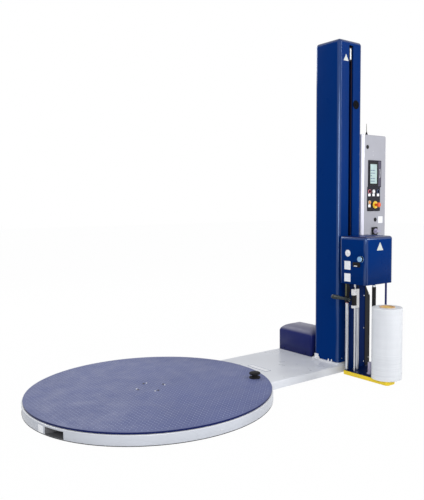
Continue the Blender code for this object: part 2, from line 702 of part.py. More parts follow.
def mast_foot(materials):
    low = (MAST_X - FOOT_MARGIN, MAST_FRONT - FOOT_MARGIN)
    high = (MAST_RIGHT + FOOT_MARGIN, MAST_BACK + FOOT_MARGIN)
    outline = rounded_rectangle(low, high, 0.012, 2)
    add_piece("mast_foot", prism(outline, BRIDGE_TOP + GAP, MAST_LOW - GAP), materials["grey"])


def mast_section():
    """The folded mast's outline: a rounded square, open at the slot on its -Y side."""
    points = []
    for inset, radius in ((0.0, MAST_CORNER), (MAST_WALL, MAST_CORNER - MAST_WALL)):
        low = (MAST_X + inset, MAST_FRONT + inset)
        high = (MAST_RIGHT - inset, MAST_BACK - inset)
        corners = rounded_rectangle(low, high, radius, 5)
        right = (MAST_CENTRE_X + SLOT_WIDTH / 2, low[1])
        left = (MAST_CENTRE_X - SLOT_WIDTH / 2, low[1])
        path = [right] + corners + [left]
        points += path if inset == 0 else path[::-1]
    return points


def mast(materials):
    add_piece("mast_column", prism(mast_section(), MAST_LOW, MAST_BODY_TOP), materials["blue"])
    low = (MAST_X, MAST_FRONT, MAST_BODY_TOP + GAP)
    high = (MAST_RIGHT, MAST_BACK, MAST_TOP)
    hood("mast_cap", low, high, MAST_CORNER, MAST_WALL, materials["blue"], steps=5)


def pulley_profile(start, x0, x1):
    """A flanged belt pulley from its near face to its far one, starting at the given radius."""
    flange = PULLEY_RADIUS + 0.004
    rim = (PULLEY_WIDTH - BELT_WIDTH) / 2 - GAP
    return [(start, x0), (flange, x0), (flange, x0 + rim), (PULLEY_RADIUS, x0 + rim), (PULLEY_RADIUS, x1 - rim),
            (flange, x1 - rim), (flange, x1)]


def lift_drive(materials):
    """Gearmotor at the foot of the mast, two pulleys and the toothed belt that lifts the carriage."""
    x0 = MAST_CENTRE_X - PULLEY_WIDTH / 2
    x1 = MAST_CENTRE_X + PULLEY_WIDTH / 2
    box_low = x1 + 0.003
    box_high = MAST_RIGHT - MAST_WALL - 0.010
    box_top = PULLEY_LOW_Z + 0.050
    gearbox = block((box_low, PULLEY_Y - 0.050, MAST_LOW + 0.008), (box_high, PULLEY_Y + 0.050, box_top))
    piece = add_piece("lift_gearmotor", gearbox, materials["dark_steel"])
    motor_at = ((box_low + box_high) / 2, PULLEY_Y)
    motor = rod((box_high - box_low) / 2 - 0.007, box_top - 0.010, TROLLEY_LOW - 0.012, motor_at, steps=24)
    weld(piece, motor, "lift_motor_join")

    body = joint_empty("lift_pulley_axis", (MAST_CENTRE_X, PULLEY_Y, PULLEY_LOW_Z))
    shaft_end = box_low - GAP
    profile = pulley_profile(0, x0, x1) + [(0.008, x1), (0.008, shaft_end), (0, shaft_end)]
    add_piece("lift_pulley", lathe(profile, 24, (PULLEY_Y, PULLEY_LOW_Z), "X"), materials["steel"], body)

    body = joint_empty("idler_pulley_axis", (MAST_CENTRE_X, PULLEY_Y, PULLEY_HIGH_Z))
    bore = WHEEL_AXLE_RADIUS + GAP
    profile = pulley_profile(bore, x0, x1) + [(bore, x1)]
    add_piece("idler_pulley", lathe(profile, 24, (PULLEY_Y, PULLEY_HIGH_Z), "X"), materials["steel"], body)

    low = (PULLEY_Y, PULLEY_LOW_Z)
    high = (PULLEY_Y, PULLEY_HIGH_Z)
    inside = PULLEY_RADIUS + GAP
    outside = inside + BELT_THICKNESS
    half = BELT_WIDTH / 2
    belt = band(loop_outline(low, outside, high, outside), loop_outline(low, inside, high, inside),
                MAST_CENTRE_X - half, MAST_CENTRE_X + half, "X")
    add_piece("lift_belt", belt, materials["rubber"])

    cheek = 0.004
    left = x0 - 0.003
    right = x1 + 0.003
    plate_low = MAST_BODY_TOP - 0.014
    plate_high = plate_low + cheek
    foot = PULLEY_HIGH_Z - 0.015
    side_low = MAST_X + MAST_WALL + RUN
    side_high = MAST_RIGHT - MAST_WALL - RUN
    outline = [(side_low, plate_high), (side_low, plate_low), (left - cheek, plate_low), (left - cheek, foot),
               (left, foot), (left, plate_low), (right, plate_low), (right, foot), (right + cheek, foot),
               (right + cheek, plate_low), (side_high, plate_low), (side_high, plate_high)]
    hanger = prism(outline, PULLEY_Y - 0.022, PULLEY_Y + 0.022, "Y")
    bracket = add_piece("idler_bracket", hanger, materials["steel"])
    axle = rod(WHEEL_AXLE_RADIUS, left - cheek / 2, right + cheek / 2, high, "X", steps=12)
    weld(bracket, axle, "idler_axle_join")


# ---------------------------------------------------------------------------------------------------------------
# Film carriage
# ---------------------------------------------------------------------------------------------------------------
def trolley_wheel_places():
    """(name, x, y, z) of the four wheels that roll inside the mast."""
    reach = TROLLEY_HALF + RUN + WHEEL_WIDTH / 2
    high = TROLLEY_HIGH - TROLLEY_WHEEL_INSET
    low = TROLLEY_LOW + TROLLEY_WHEEL_INSET
    return [
        ("guide_wheel_1", MAST_CENTRE_X - reach, UPPER_WHEEL_Y, high),
        ("guide_wheel_2", MAST_CENTRE_X + reach, UPPER_WHEEL_Y, high),
        ("guide_wheel_3", MAST_CENTRE_X - reach, LOWER_WHEEL_Y, low),
        ("guide_wheel_4", MAST_CENTRE_X + reach, LOWER_WHEEL_Y, low),
    ]


def trolley(body, materials):
    """Welded trolley: two cheeks and a web inside the mast, an arm through the slot and four axles."""
    left = MAST_CENTRE_X - TROLLEY_HALF
    right = MAST_CENTRE_X + TROLLEY_HALF
    wall = TROLLEY_WALL
    web = MAST_FRONT + 0.061
    front = UPPER_WHEEL_Y - 0.012
    back = LOWER_WHEEL_Y + 0.012
    outline = [(left, front), (left + wall, front), (left + wall, web), (right - wall, web), (right - wall, front),
               (right, front), (right, back), (right - wall, back), (right - wall, web + wall),
               (left + wall, web + wall), (left + wall, back), (left, back)]
    piece = add_piece("trolley", prism(outline, TROLLEY_LOW, TROLLEY_HIGH), materials["steel"], body)
    half = ARM_WIDTH / 2
    arm_front = PLATE_AT[1] + SHEET + GAP
    arm = block((MAST_CENTRE_X - half, arm_front, TROLLEY_LOW + 0.05),
                (MAST_CENTRE_X + half, web + wall / 2, TROLLEY_HIGH - 0.05))
    weld(piece, arm, "arm_join")
    belt_front = PULLEY_Y - PULLEY_RADIUS - BELT_THICKNESS - 2 * GAP
    half = BELT_WIDTH / 2 - 0.001
    clamp = block((MAST_CENTRE_X - half, web + wall / 2, TROLLEY_LOW + 0.18),
                  (MAST_CENTRE_X + half, belt_front, TROLLEY_LOW + 0.22))
    weld(piece, clamp, "belt_clamp_join")
    for name, x, y, z in trolley_wheel_places():
        side = 1 if x > MAST_CENTRE_X else -1
        inner = MAST_CENTRE_X + side * (TROLLEY_HALF - wall / 2)
        outer = x + side * (WHEEL_WIDTH / 2 + 0.003)
        axle = rod(WHEEL_AXLE_RADIUS, min(inner, outer), max(inner, outer), (y, z), "X", steps=12)
        weld(piece, axle, f"{name}_axle")
        wheel_body = joint_empty(f"{name}_axis", (x, y, z), body)
        half = WHEEL_WIDTH / 2
        ring = tube(WHEEL_RADIUS, WHEEL_AXLE_RADIUS + GAP, x - half, x + half, (y, z), "X", steps=20)
        add_piece(name, ring, materials["nylon"], wheel_body)


def tray_outline(inset=0.0):
    """Outline of the tray: square at the back, rounded front corners, slanted towards the mast's far side."""
    x0 = CARRIAGE_X + inset
    x1 = CARRIAGE_X + TRAY_WIDTH - inset
    y0 = MAST_FRONT - TRAY_FRONT + inset
    y1 = MAST_FRONT - TRAY_BACK - inset
    shoulder = MAST_FRONT - TRAY_SHOULDER + inset * 0.4
    nose = x0 + TRAY_NOSE - inset * 1.4
    slant = atan2(shoulder - y0, x1 - nose)
    radius = max(TRAY_CORNER - inset, 0.002)
    points = [(x1, shoulder), (x1, y1), (x0, y1)]
    points += arc((x0 + radius, y0 + radius), radius, 180, 270, 4)
    reach = radius * (1 - cos(slant)) / sin(slant)
    points += arc((nose - reach, y0 + radius), radius, 270, 270 + degrees(slant), 3)
    return points


def carriage_frame(body, materials):
    low = TRAY_TOP - TRAY_THICKNESS
    tray_inset = BUMPER_THICKNESS + 0.0015
    add_piece("carriage_tray", prism(tray_outline(tray_inset), low, TRAY_TOP), materials["blue"], body)

    left, front = PLATE_AT
    back = front + PLATE_DEPTH
    guard_x = CARRIAGE_X + GUARD_X
    right = guard_x + GUARD_LAP
    outline = [(left, front), (right, front), (right, back), (right - SHEET, back), (right - SHEET, front + SHEET),
               (left + SHEET, front + SHEET), (left + SHEET, back), (left, back)]
    add_piece("back_plate", prism(outline, TRAY_TOP + GAP, HOOD_TOP - 0.033), materials["blue"], body)

    foot = TRAY_TOP + 0.002
    guard_right = guard_x + GUARD_WIDTH
    guard_top = HOOD_LOW - GUARD_DROP
    outline = [(guard_x, foot), (guard_right, foot), (guard_right, guard_top - GUARD_CUT),
               (guard_x + 0.004, guard_top), (guard_x, guard_top)]
    guard = prism(outline, front - GAP - SHEET, front - GAP, "Y")
    add_piece("side_guard", guard, materials["black"], body)

    hood_front = MAST_FRONT - HOOD_FRONT
    hood_right = CARRIAGE_X + HOOD_WIDTH
    inset = HOOD_WALL + RUN
    shelf_low = (CARRIAGE_X + inset, hood_front + inset)
    shelf_high = (hood_right - inset, front - SHEET - 2 * GAP)
    shelf = prism(rounded_rectangle(shelf_low, shelf_high, HOOD_ROUND, 3), SHELF_LOW, SHELF_LOW + SHELF_THICKNESS)
    add_piece("carriage_shelf", shelf, materials["steel"], body)

    low = (CARRIAGE_X, hood_front, HOOD_LOW)
    high = (hood_right, MAST_FRONT - HOOD_BACK, HOOD_TOP)
    hood("carriage_hood", low, high, HOOD_ROUND, HOOD_WALL, materials["blue"], body=body)


def bumper(body, materials):
    """Yellow safety edge under the tray: an upright strip round the tray's edge on a thin plate."""
    outer = tray_outline()
    inner = tray_outline(BUMPER_THICKNESS)
    top = BUMPER_LOW + BUMPER_HEIGHT
    piece = add_piece("safety_bumper", band(outer, inner, BUMPER_LOW, top), materials["yellow"], body)
    plate = prism(tray_outline(BUMPER_THICKNESS / 2), BUMPER_LOW + 0.001, BUMPER_LOW + 0.004)
    weld(piece, plate, "bumper_plate_join")


def film_roll(carriage, materials):
    x, y = ROLL_AT
    top = ROLL_LOW + ROLL_HEIGHT
    foot = TRAY_TOP + GAP
    bore = CORE_BORE - 0.002
    mandrel = [(0, foot), (bore, foot), (bore, top - 0.10), (bore - 0.014, top - 0.07), (0, top - 0.07)]
    add_piece("roll_mandrel", lathe(mandrel, 24, ROLL_AT), materials["black"], carriage)
    body = joint_empty("film_spool_axis", (x, y, ROLL_LOW), carriage)
    core = tube(CORE_RADIUS, CORE_BORE, ROLL_LOW - 0.001, top + 0.004, ROLL_AT, steps=32)
    add_piece("film_core", core, materials["card"], body)
    film = tube(ROLL_RADIUS, CORE_RADIUS + GAP, ROLL_LOW, top, ROLL_AT, steps=40)
    add_piece("film_roll", film, materials["film"], body)


def roller(name, at, radius, low, high, foot, head, material, carriage):
    """A roller with thinner axle ends that stand on the tray and reach up to what holds it."""
    body = joint_empty(f"{name}_axis", (*at, low), carriage)
    stub = radius * 0.45
    profile = [(0, foot), (stub, foot), (stub, low), (radius, low), (radius, high), (stub, high), (stub, head),
               (0, head)]
    add_piece(name, lathe(profile, 20, at), material, body)


def carriage_rollers(carriage, materials):
    foot = TRAY_TOP + GAP
    start = TRAY_TOP + 0.006
    shelf = SHELF_LOW - GAP
    metal = materials["aluminium"]
    top = ROLLER_1_TOP
    roller("idle_roller_1", ROLLER_1_AT, ROLLER_RADIUS, start, top - 0.003, foot, top, metal, carriage)
    top = ROLLER_2_TOP
    roller("idle_roller_2", ROLLER_2_AT, WIDE_ROLLER_RADIUS, start, top - 0.003, foot, top, metal, carriage)
    top = RUBBER_ROLLER_TOP
    rubber = materials["rubber"]
    roller("rubber_roller", RUBBER_ROLLER_AT, RUBBER_ROLLER_RADIUS, start, top, foot, shelf, rubber, carriage)

    add_piece("guide_rod", rod(GUIDE_ROD_RADIUS, foot, BRACKET_LOW - GAP, GUIDE_ROD_AT), materials["steel"], carriage)
    add_piece("corner_post", rod(POST_RADIUS, foot, shelf, POST_AT, steps=20), materials["navy"], carriage)

    rod_x, rod_y = GUIDE_ROD_AT
    left = rod_x - 0.015
    right = ROLLER_2_AT[0] - 0.003
    spine = right - BRACKET_SPINE
    ear_high = BRACKET_LOW + 0.020
    top = shelf - BRACKET_DROP
    outline = [(left, BRACKET_LOW), (right, BRACKET_LOW), (right, top), (left, top), (left, top - BRACKET_EAR),
               (spine, top - BRACKET_EAR), (spine, ear_high), (left, ear_high)]
    shape = prism(outline, min(rod_y, ROLLER_2_AT[1]) - 0.004, max(rod_y, ROLLER_2_AT[1]) + 0.006, "Y")
    bracket = add_piece("roller_bracket", shape, materials["steel"], carriage)
    weld(bracket, rod(0.007, top - 0.004, shelf, (rod_x + 0.010, rod_y + 0.010)), "bracket_stem_join")

    head_x, head_y = ROLLER_1_AT
    half = ROLLER_RADIUS
    low = ROLLER_1_TOP + GAP
    shape = block((head_x - half, head_y - half, low), (head_x + half, head_y + half, shelf))
    head = add_piece("roller_head", shape, materials["black"], carriage)
    tab = block((head_x, head_y - 0.006, low + 0.080), (PLATE_AT[0] - GAP, head_y + 0.006, low + 0.120))
    weld(head, tab, "head_tab_join")


def brake_lever(carriage, materials):
    """Black handle on the head of the first roller: a hub that turns on +Y and a grip that rises along -X."""
    head_x, head_y = ROLLER_1_AT
    face = head_y - ROLLER_RADIUS - GAP
    body = joint_empty("brake_lever_axis", (head_x, face, LEVER_Z), carriage)
    hub = rod(0.014, face - 0.024, face, (head_x, LEVER_Z), "Y", steps=20)
    piece = add_piece("brake_lever", hub, materials["black"], body)
    tip, wide = -LEVER_LENGTH, LEVER_GRIP_RADIUS
    profile = [(0, -0.008), (0.008, -0.008), (0.010, -0.030), (wide - 0.001, tip + 0.050), (wide, tip + 0.014),
               (wide * 0.8, tip + 0.003), (wide * 0.55, tip), (0, tip)]
    grip = lathe(profile, 12, (0.0, 0.0), "X")
    bmesh.ops.rotate(grip, verts=grip.verts, matrix=Matrix.Rotation(radians(LEVER_TILT), 3, "Y"))
    bmesh.ops.translate(grip, verts=grip.verts, vec=(head_x, face - 0.012, LEVER_Z))
    weld(piece, grip, "lever_grip_join")


def tension_knob(carriage, materials):
    y, z = KNOB_AT
    body = joint_empty("tension_knob_axis", (CARRIAGE_X, y, z), carriage)
    back = CARRIAGE_X - GAP
    front = back - KNOB_LENGTH
    profile = [(0, back), (KNOB_RADIUS, back), (KNOB_RADIUS, back - 0.004), (KNOB_RADIUS * 0.8, back - 0.006),
               (KNOB_RADIUS * 0.75, front + 0.002), (KNOB_RADIUS * 0.65, front), (0, front)]
    add_piece("tension_knob", lathe(profile, 24, (y, z), "X"), materials["steel"], body)


def carriage(materials):
    body = joint_empty("carriage_axis", (MAST_CENTRE_X, MAST_FRONT, 0.0))
    trolley(body, materials)
    carriage_frame(body, materials)
    edge = joint_empty("bumper_axis", (CARRIAGE_X, MAST_FRONT - TRAY_FRONT, BUMPER_LOW), body)
    bumper(edge, materials)
    film_roll(body, materials)
    carriage_rollers(body, materials)
    brake_lever(body, materials)
    tension_knob(body, materials)


# ---------------------------------------------------------------------------------------------------------------
# Control cabinet
# ---------------------------------------------------------------------------------------------------------------
def on_door(place):
    return (CABINET_X + place[0], CABINET_LOW + place[1])


def cabinet(materials):
    """The case with its bracket to the mast and its rounded upright, then the door with all it carries."""
    low = (CABINET_X, DOOR_BACK + GAP, CABINET_LOW)
    high = (CABINET_RIGHT, CABINET_BACK, CABINET_TOP)
    case = hood("control_cabinet", low, high, CABINET_ROUND, CABINET_WALL, materials["grey"], "-Y", steps=2)
    bracket_low = (MAST_RIGHT + GAP, MAST_FRONT + 0.050, CABINET_LOW + 0.080)
    bracket_high = (CABINET_X + CABINET_WALL / 2, CABINET_BACK - 0.015, CABINET_TOP - 0.080)
    weld(case, block(bracket_low, bracket_high), "mast_bracket_join")
    edge = CABINET_X + CABINET_EDGE
    seam = DOOR_BACK + GAP + 0.0005
    outline = arc((edge, CABINET_FRONT + CABINET_EDGE), CABINET_EDGE, 200, 270, 5) + [(edge, seam), (CABINET_X, seam)]
    weld(case, prism(outline, CABINET_LOW, CABINET_TOP), "upright_join")

    hinge = joint_empty("door_axis", (CABINET_RIGHT + 0.003, CABINET_FRONT + 0.008, CABINET_LOW))
    low = (edge + 0.001, CABINET_LOW + 0.001)
    high = (CABINET_RIGHT - 0.001, CABINET_TOP - 0.001)
    outline = rounded_rectangle(low, high, DOOR_ROUND, 4)
    door = add_piece("cabinet_door", prism(outline, CABINET_FRONT, DOOR_BACK, "Y"), materials["grey"], hinge)
    soften(door, 0.003, 2)
    control_panel(hinge, materials)
    main_switch(hinge, materials)


def control_panel(hinge, materials):
    """Display over a plate with four buttons and the emergency stop."""
    face = CABINET_FRONT - GAP
    front = face - PANEL_THICKNESS
    low, high = on_door(PANEL_LOW), on_door(PANEL_HIGH)
    display_low, display_high = on_door(DISPLAY_LOW), on_door(DISPLAY_HIGH)
    outline = [low, (high[0], low[1]), high, (display_high[0], high[1]), display_high,
               (display_low[0], display_high[1]), display_low, (low[0], high[1])]
    panel = add_piece("control_panel", prism(outline, front, face, "Y"), materials["black"], hinge)
    screen_low, screen_high = on_door(SCREEN_LOW), on_door(SCREEN_HIGH)
    recess = block((screen_low[0] - GAP, front - 0.01, screen_low[1] - GAP),
                   (screen_high[0] + GAP, front + SCREEN_RECESS, screen_high[1] + GAP))
    cut(panel, recess, "screen_recess")
    glass = block((screen_low[0], front + 0.0005, screen_low[1]),
                  (screen_high[0], front + SCREEN_RECESS - GAP, screen_high[1]))
    add_piece("display_screen", glass, materials["screen"], hinge)

    seat = CABINET_FRONT - BUTTON_SEAT
    end = seat - BUTTON_LENGTH
    radius = BUTTON_RADIUS
    for name, place in BUTTONS.items():
        at = on_door(place)
        cut(panel, rod(radius + RUN, front - 0.01, face + 0.01, at, "Y", steps=20), f"{name}_hole")
        body = joint_empty(f"{name}_button_axis", (at[0], seat, at[1]), hinge)
        profile = [(0, seat), (radius, seat), (radius, end + 0.001), (radius - 0.001, end), (0, end)]
        add_piece(f"{name}_button", lathe(profile, 20, at, "Y"), materials["white"], body)

    stem = STOP_STEM_RADIUS
    radius = STOP_HEAD_RADIUS
    cut(panel, rod(stem + RUN, front - 0.01, face + 0.01, STOP_AT, "Y", steps=20), "emergency_stop_hole")
    body = joint_empty("emergency_stop_axis", (STOP_AT[0], seat, STOP_AT[1]), hinge)
    end = front - STOP_REACH
    profile = [(0, seat), (stem, seat), (stem, end + 0.018), (radius, end + 0.015), (radius, end + 0.007),
               (radius * 0.8, end + 0.002), (radius * 0.4, end), (0, end)]
    add_piece("emergency_stop", lathe(profile, 24, STOP_AT, "Y"), materials["red"], body)


def main_switch(hinge, materials):
    """Plate and rotary handle of the main switch, low on the door."""
    face = CABINET_FRONT - GAP
    half = SWITCH_PLATE / 2
    x, z = SWITCH_AT
    plate = rounded_rectangle((x - half, z - half), (x + half, z + half), 0.004, 2)
    add_piece("main_switch_plate", prism(plate, face - 0.010, face, "Y"), materials["black"], hinge)
    body = joint_empty("main_switch_axis", (x, face - 0.010, z), hinge)
    base = face - 0.010 - GAP
    dial = rod(0.021, base - 0.010, base, SWITCH_AT, "Y", steps=20)
    switch = add_piece("main_switch", dial, materials["grey"], body)
    grip = block((x - 0.022, base - 0.036, z - 0.007), (x + 0.026, base - 0.006, z + 0.007))
    weld(switch, grip, "switch_grip_join")


# ---------------------------------------------------------------------------------------------------------------
# The whole machine
# ---------------------------------------------------------------------------------------------------------------
def main():
    clear_scene()
    materials = make_materials()
    floor_plate(materials)
    base_ring(materials)
    fork_pocket("fork_pocket_left", -1, materials)
    fork_pocket("fork_pocket_right", 1, materials)
    turntable(joint_empty("turntable_axis", (0, 0, 0)), materials)
    for i, (angle, x, y) in enumerate(support_wheel_places(), 1):
        support_wheel(i, angle, x, y, materials)
    motor_sprocket(materials)
    drive_chain(materials)
    table_gearmotor(materials)
    motor_cover(materials)
    bridge(materials)
    mast_foot(materials)
    mast(materials)
    lift_drive(materials)
    carriage(materials)
    cabinet(materials)


main()
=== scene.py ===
"""Looks of the turntable pallet wrapper: finishes, fine surfaces, trim and studio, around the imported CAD."""

import random
from math import cos, hypot, pi, radians, sin

import bmesh
import bpy
from mathutils import Matrix, Vector


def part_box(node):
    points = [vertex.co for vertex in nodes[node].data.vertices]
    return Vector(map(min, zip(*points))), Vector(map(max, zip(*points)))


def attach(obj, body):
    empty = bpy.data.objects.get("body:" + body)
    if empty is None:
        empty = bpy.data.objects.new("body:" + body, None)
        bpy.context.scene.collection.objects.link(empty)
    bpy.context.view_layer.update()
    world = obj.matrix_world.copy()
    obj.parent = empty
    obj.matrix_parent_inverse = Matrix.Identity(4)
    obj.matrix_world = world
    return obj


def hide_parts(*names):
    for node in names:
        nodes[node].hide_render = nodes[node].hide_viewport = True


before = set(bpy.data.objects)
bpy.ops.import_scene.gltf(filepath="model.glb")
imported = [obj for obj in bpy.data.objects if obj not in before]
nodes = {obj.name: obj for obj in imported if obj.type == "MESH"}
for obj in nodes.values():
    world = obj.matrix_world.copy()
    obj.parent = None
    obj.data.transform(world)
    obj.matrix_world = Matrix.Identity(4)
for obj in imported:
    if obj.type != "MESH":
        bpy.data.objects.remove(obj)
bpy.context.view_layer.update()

UP, FRONT, LEFT, RIGHT = Vector((0, 0, 1)), (0, -1, 0), (-1, 0, 0), (1, 0, 0)
GAP = 0.0001  # between a stuck-on piece and the surface below it
SHARP = 32  # degrees; flatter edges are shaded smooth
FLAT = 0.996  # a face whose normal leans further off an axis belongs to a bend


def corners(node):
    low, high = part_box(node)
    return Vector(low), Vector(high)


def middle(node):
    low, high = corners(node)
    return (low + high) / 2


def half_width(node):
    low, high = corners(node)
    return (high.x - low.x) / 2


# Mesh helpers
def on_axis(axis, a, b, h):
    """A point from two cross-section coordinates and one along the axis."""
    return {"X": (h, a, b), "Y": (a, h, b), "Z": (a, b, h)}[axis]


def skin(bm, rows):
    """Faces between neighbouring rows of points; a row of one point closes the shape like a fan."""
    for row, following in zip(rows, rows[1:]):
        steps = max(len(row), len(following))
        for i in range(steps):
            j = (i + 1) % steps
            around = [row[i % len(row)], row[j % len(row)],
                      following[j % len(following)], following[i % len(following)]]
            bm.faces.new(list(dict.fromkeys(around)))


def lathe(profile, steps=64, at=(0.0, 0.0), axis="Z", base=0.0):
    """A turned solid from (radius, height over the base) points; a radius of 0 closes it on the axis."""
    bm = bmesh.new()
    turns = [2 * pi * i / steps for i in range(steps)]
    rings = []
    for radius, height in profile:
        around = [(at[0] + radius * cos(t), at[1] + radius * sin(t)) for t in turns] if radius else [at]
        rings.append([bm.verts.new(on_axis(axis, a, b, base + height)) for a, b in around])
    if len(rings[0]) > 1:
        rings.append(rings[0])
    skin(bm, rings)
    return bm


def rod(radius, low, high, at, axis="Z", steps=32, edge=0.001):
    edge = min(edge, radius * 0.5, abs(high - low) * 0.4)
    inside = radius - edge
    profile = [(0, low), (inside, low), (radius, low + edge), (radius, high - edge), (inside, high), (0, high)]
    return lathe(profile, steps, at, axis)


def ring(radius, bore, low, high, at=(0.0, 0.0), axis="Z", steps=48):
    return lathe([(radius, low), (radius, high), (bore, high), (bore, low)], steps, at, axis)


def prism(outline, low, high, axis="Z"):
    bm = bmesh.new()
    base = [bm.verts.new(on_axis(axis, a, b, low)) for a, b in outline]
    face = bm.faces.new(base)
    moved = bmesh.ops.extrude_face_region(bm, geom=[face])["geom"]
    step = Vector(on_axis(axis, 0, 0, high - low))
    bmesh.ops.translate(bm, verts=[v for v in moved if isinstance(v, bmesh.types.BMVert)], vec=step)
    return bm


def bevelled(bm, edges, offset, steps):
    bmesh.ops.bevel(bm, geom=edges, offset=offset, segments=steps, profile=0.5, affect="EDGES")
    return bm


def rounded_prism(outline, low, high, axis, edge, steps=2):
    """A prism whose rim edges at both ends are rounded."""
    bm = prism(outline, low, high, axis)
    index = "XYZ".index(axis)
    rims = [e for e in bm.edges if abs(e.verts[0].co[index] - e.verts[1].co[index]) < 1e-7]
    return bevelled(bm, rims, edge, steps)


def block(low, high, edge=0.0):
    outline = [(low[0], low[1]), (high[0], low[1]), (high[0], high[1]), (low[0], high[1])]
    bm = prism(outline, low[2], high[2])
    return bevelled(bm, bm.edges[:], edge, 1) if edge else bm


def arc(centre, radius, start, end, steps):
    turns = [radians(start + (end - start) * i / steps) for i in range(steps + 1)]
    return [(centre[0] + radius * cos(t), centre[1] + radius * sin(t)) for t in turns]


def band(centre, outer, inner, start, end, steps):
    """The outline of a strip along an arc."""
    return arc(centre, outer, start, end, steps) + arc(centre, inner, end, start, steps)


def rounded_rectangle(low, high, radius, steps=3):
    points = []
    for x, y, start in ((high[0] - radius, low[1] + radius, -90), (high[0] - radius, high[1] - radius, 0),
                        (low[0] + radius, high[1] - radius, 90), (low[0] + radius, low[1] + radius, 180)):
        points += arc((x, y), radius, start, start + 90, steps)
    return points


def grown(low, high, sideways, upwards):
    """The X and Z corners of a box, moved outwards."""
    return (low.x - sideways, low.z - upwards), (high.x + sideways, high.z + upwards)


def hood_mesh(low, high, radius, steps):
    """The outer skin of a cover that is open below, rounded on every edge but those of its mouth."""
    bm = block(low, high)
    bmesh.ops.recalc_face_normals(bm, faces=bm.faces)
    mouth = min(bm.faces, key=lambda f: f.calc_center_median().z)
    bevelled(bm, [e for e in bm.edges if mouth not in e.link_faces], radius, steps)
    mouth = min(bm.faces, key=lambda f: f.calc_center_median().z)
    bmesh.ops.delete(bm, geom=[mouth], context="FACES_ONLY")
    return bm


def joined(meshes):
    """One mesh from several."""
    whole = bmesh.new()
    for bm in meshes:
        bmesh.ops.recalc_face_normals(bm, faces=bm.faces)
        part = bpy.data.meshes.new("part")
        bm.to_mesh(part)
        bm.free()
        whole.from_mesh(part)
        bpy.data.meshes.remove(part)
    return whole


def linked(name, data):
    obj = bpy.data.objects.new(name, data)
    bpy.context.collection.objects.link(obj)
    return obj


def mesh_object(name, bm):
    mesh = bpy.data.meshes.new(name)
    bm.to_mesh(mesh)
    bm.free()
    return linked(name, mesh)


def smoothed(mesh, sharp=SHARP):
    mesh.shade_smooth()
    mesh.set_sharp_from_angle(angle=radians(sharp))


def piece(name, bm, material, body, stands_for=(), sharp=SHARP, closed=True):
    """A shown object, of one mesh or a list, that rides on a body and may stand for CAD nodes."""
    if isinstance(bm, list):
        bm = joined(bm)
    if closed:
        bmesh.ops.recalc_face_normals(bm, faces=bm.faces)
    obj = mesh_object(name, bm)
    obj.data.materials.append(M[material])
    smoothed(obj.data, sharp)
    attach(obj, body)
    if stands_for:
        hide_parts(*stands_for)
    return obj


def cut(obj, bm, name):
    """Cuts an opening at once, so that no cutter stays in the scene."""
    bmesh.ops.recalc_face_normals(bm, faces=bm.faces)
    cutter = mesh_object(name, bm)
    modifier = obj.modifiers.new(name, "BOOLEAN")
    modifier.operation = "DIFFERENCE"
    modifier.solver = "EXACT"
    modifier.object = cutter
    graph = bpy.context.evaluated_depsgraph_get()
    made = bpy.data.meshes.new_from_object(obj.evaluated_get(graph))
    obj.modifiers.clear()
    obj.data = made
    smoothed(made)
    bpy.data.objects.remove(cutter)


def second_finish(obj, material, wanted):
    """Gives the faces that pass a test a finish of their own."""
    obj.data.materials.append(M[material])
    for face in obj.data.polygons:
        if wanted(face):
            face.material_index = 1


def gloss_bends(obj):
    """Gives the rounded bends their own, shinier paint, which also holds painted shade on the bends that look up."""
    second_finish(obj, "blue_bend", lambda face: max(abs(along) for along in face.normal) < FLAT)


def thicken(obj, wall):
    shell = obj.modifiers.new("wall", "SOLIDIFY")
    shell.thickness = wall
    shell.offset = -1
    shell.use_even_offset = True


def turned(bm, rotation, at):
    bmesh.ops.rotate(bm, verts=bm.verts, cent=(0, 0, 0), matrix=rotation)
    bmesh.ops.translate(bm, verts=bm.verts, vec=at)
    return bm


def facing(direction):
    """Rotation that turns +Z to a direction."""
    return UP.rotation_difference(Vector(direction)).to_matrix()


def hex_bolt(at, direction, size):
    """Hexagon head on a washer."""
    hexagon = [(size * cos(radians(60 * i)), size * sin(radians(60 * i))) for i in range(6)]
    head = rounded_prism(hexagon, size * 0.2, size * 1.0, "Z", size * 0.08, 1)
    washer = rod(size * 1.35, 0.0, size * 0.2, (0, 0), edge=size * 0.05)
    return [turned(m, facing(direction), at) for m in (head, washer)]


def socket_screws(places, direction, radius):
    """Domed screw heads with a hexagon socket."""
    six = radius * 0.42
    profile = [(0, 0.0), (radius, 0.0), (radius * 0.94, radius * 0.35), (radius * 0.72, radius * 0.52),
               (six, radius * 0.56), (six * 0.96, radius * 0.18), (0, radius * 0.18)]
    return [turned(lathe(profile, 24), facing(direction), at) for at in places]


def steel(name, heads, body):
    piece(name, heads, "steel", body)


def flat(name, low, high, radius, start, end, axis, material, body, slot=None, steps=3):
    """A thin plate with round corners that lies across an axis, between two places on it."""
    piece(name, prism(rounded_rectangle(low, high, radius, steps), start, end, axis), material, body)


def outwards(angle):
    return Vector((cos(radians(angle)), sin(radians(angle)), 0))


# Materials
def fill(node, **values):
    """Sets sockets to constants; a space in a socket's name is written as an underscore."""
    for name, value in values.items():
        node.inputs[name.replace("_", " ")].default_value = value
    return node


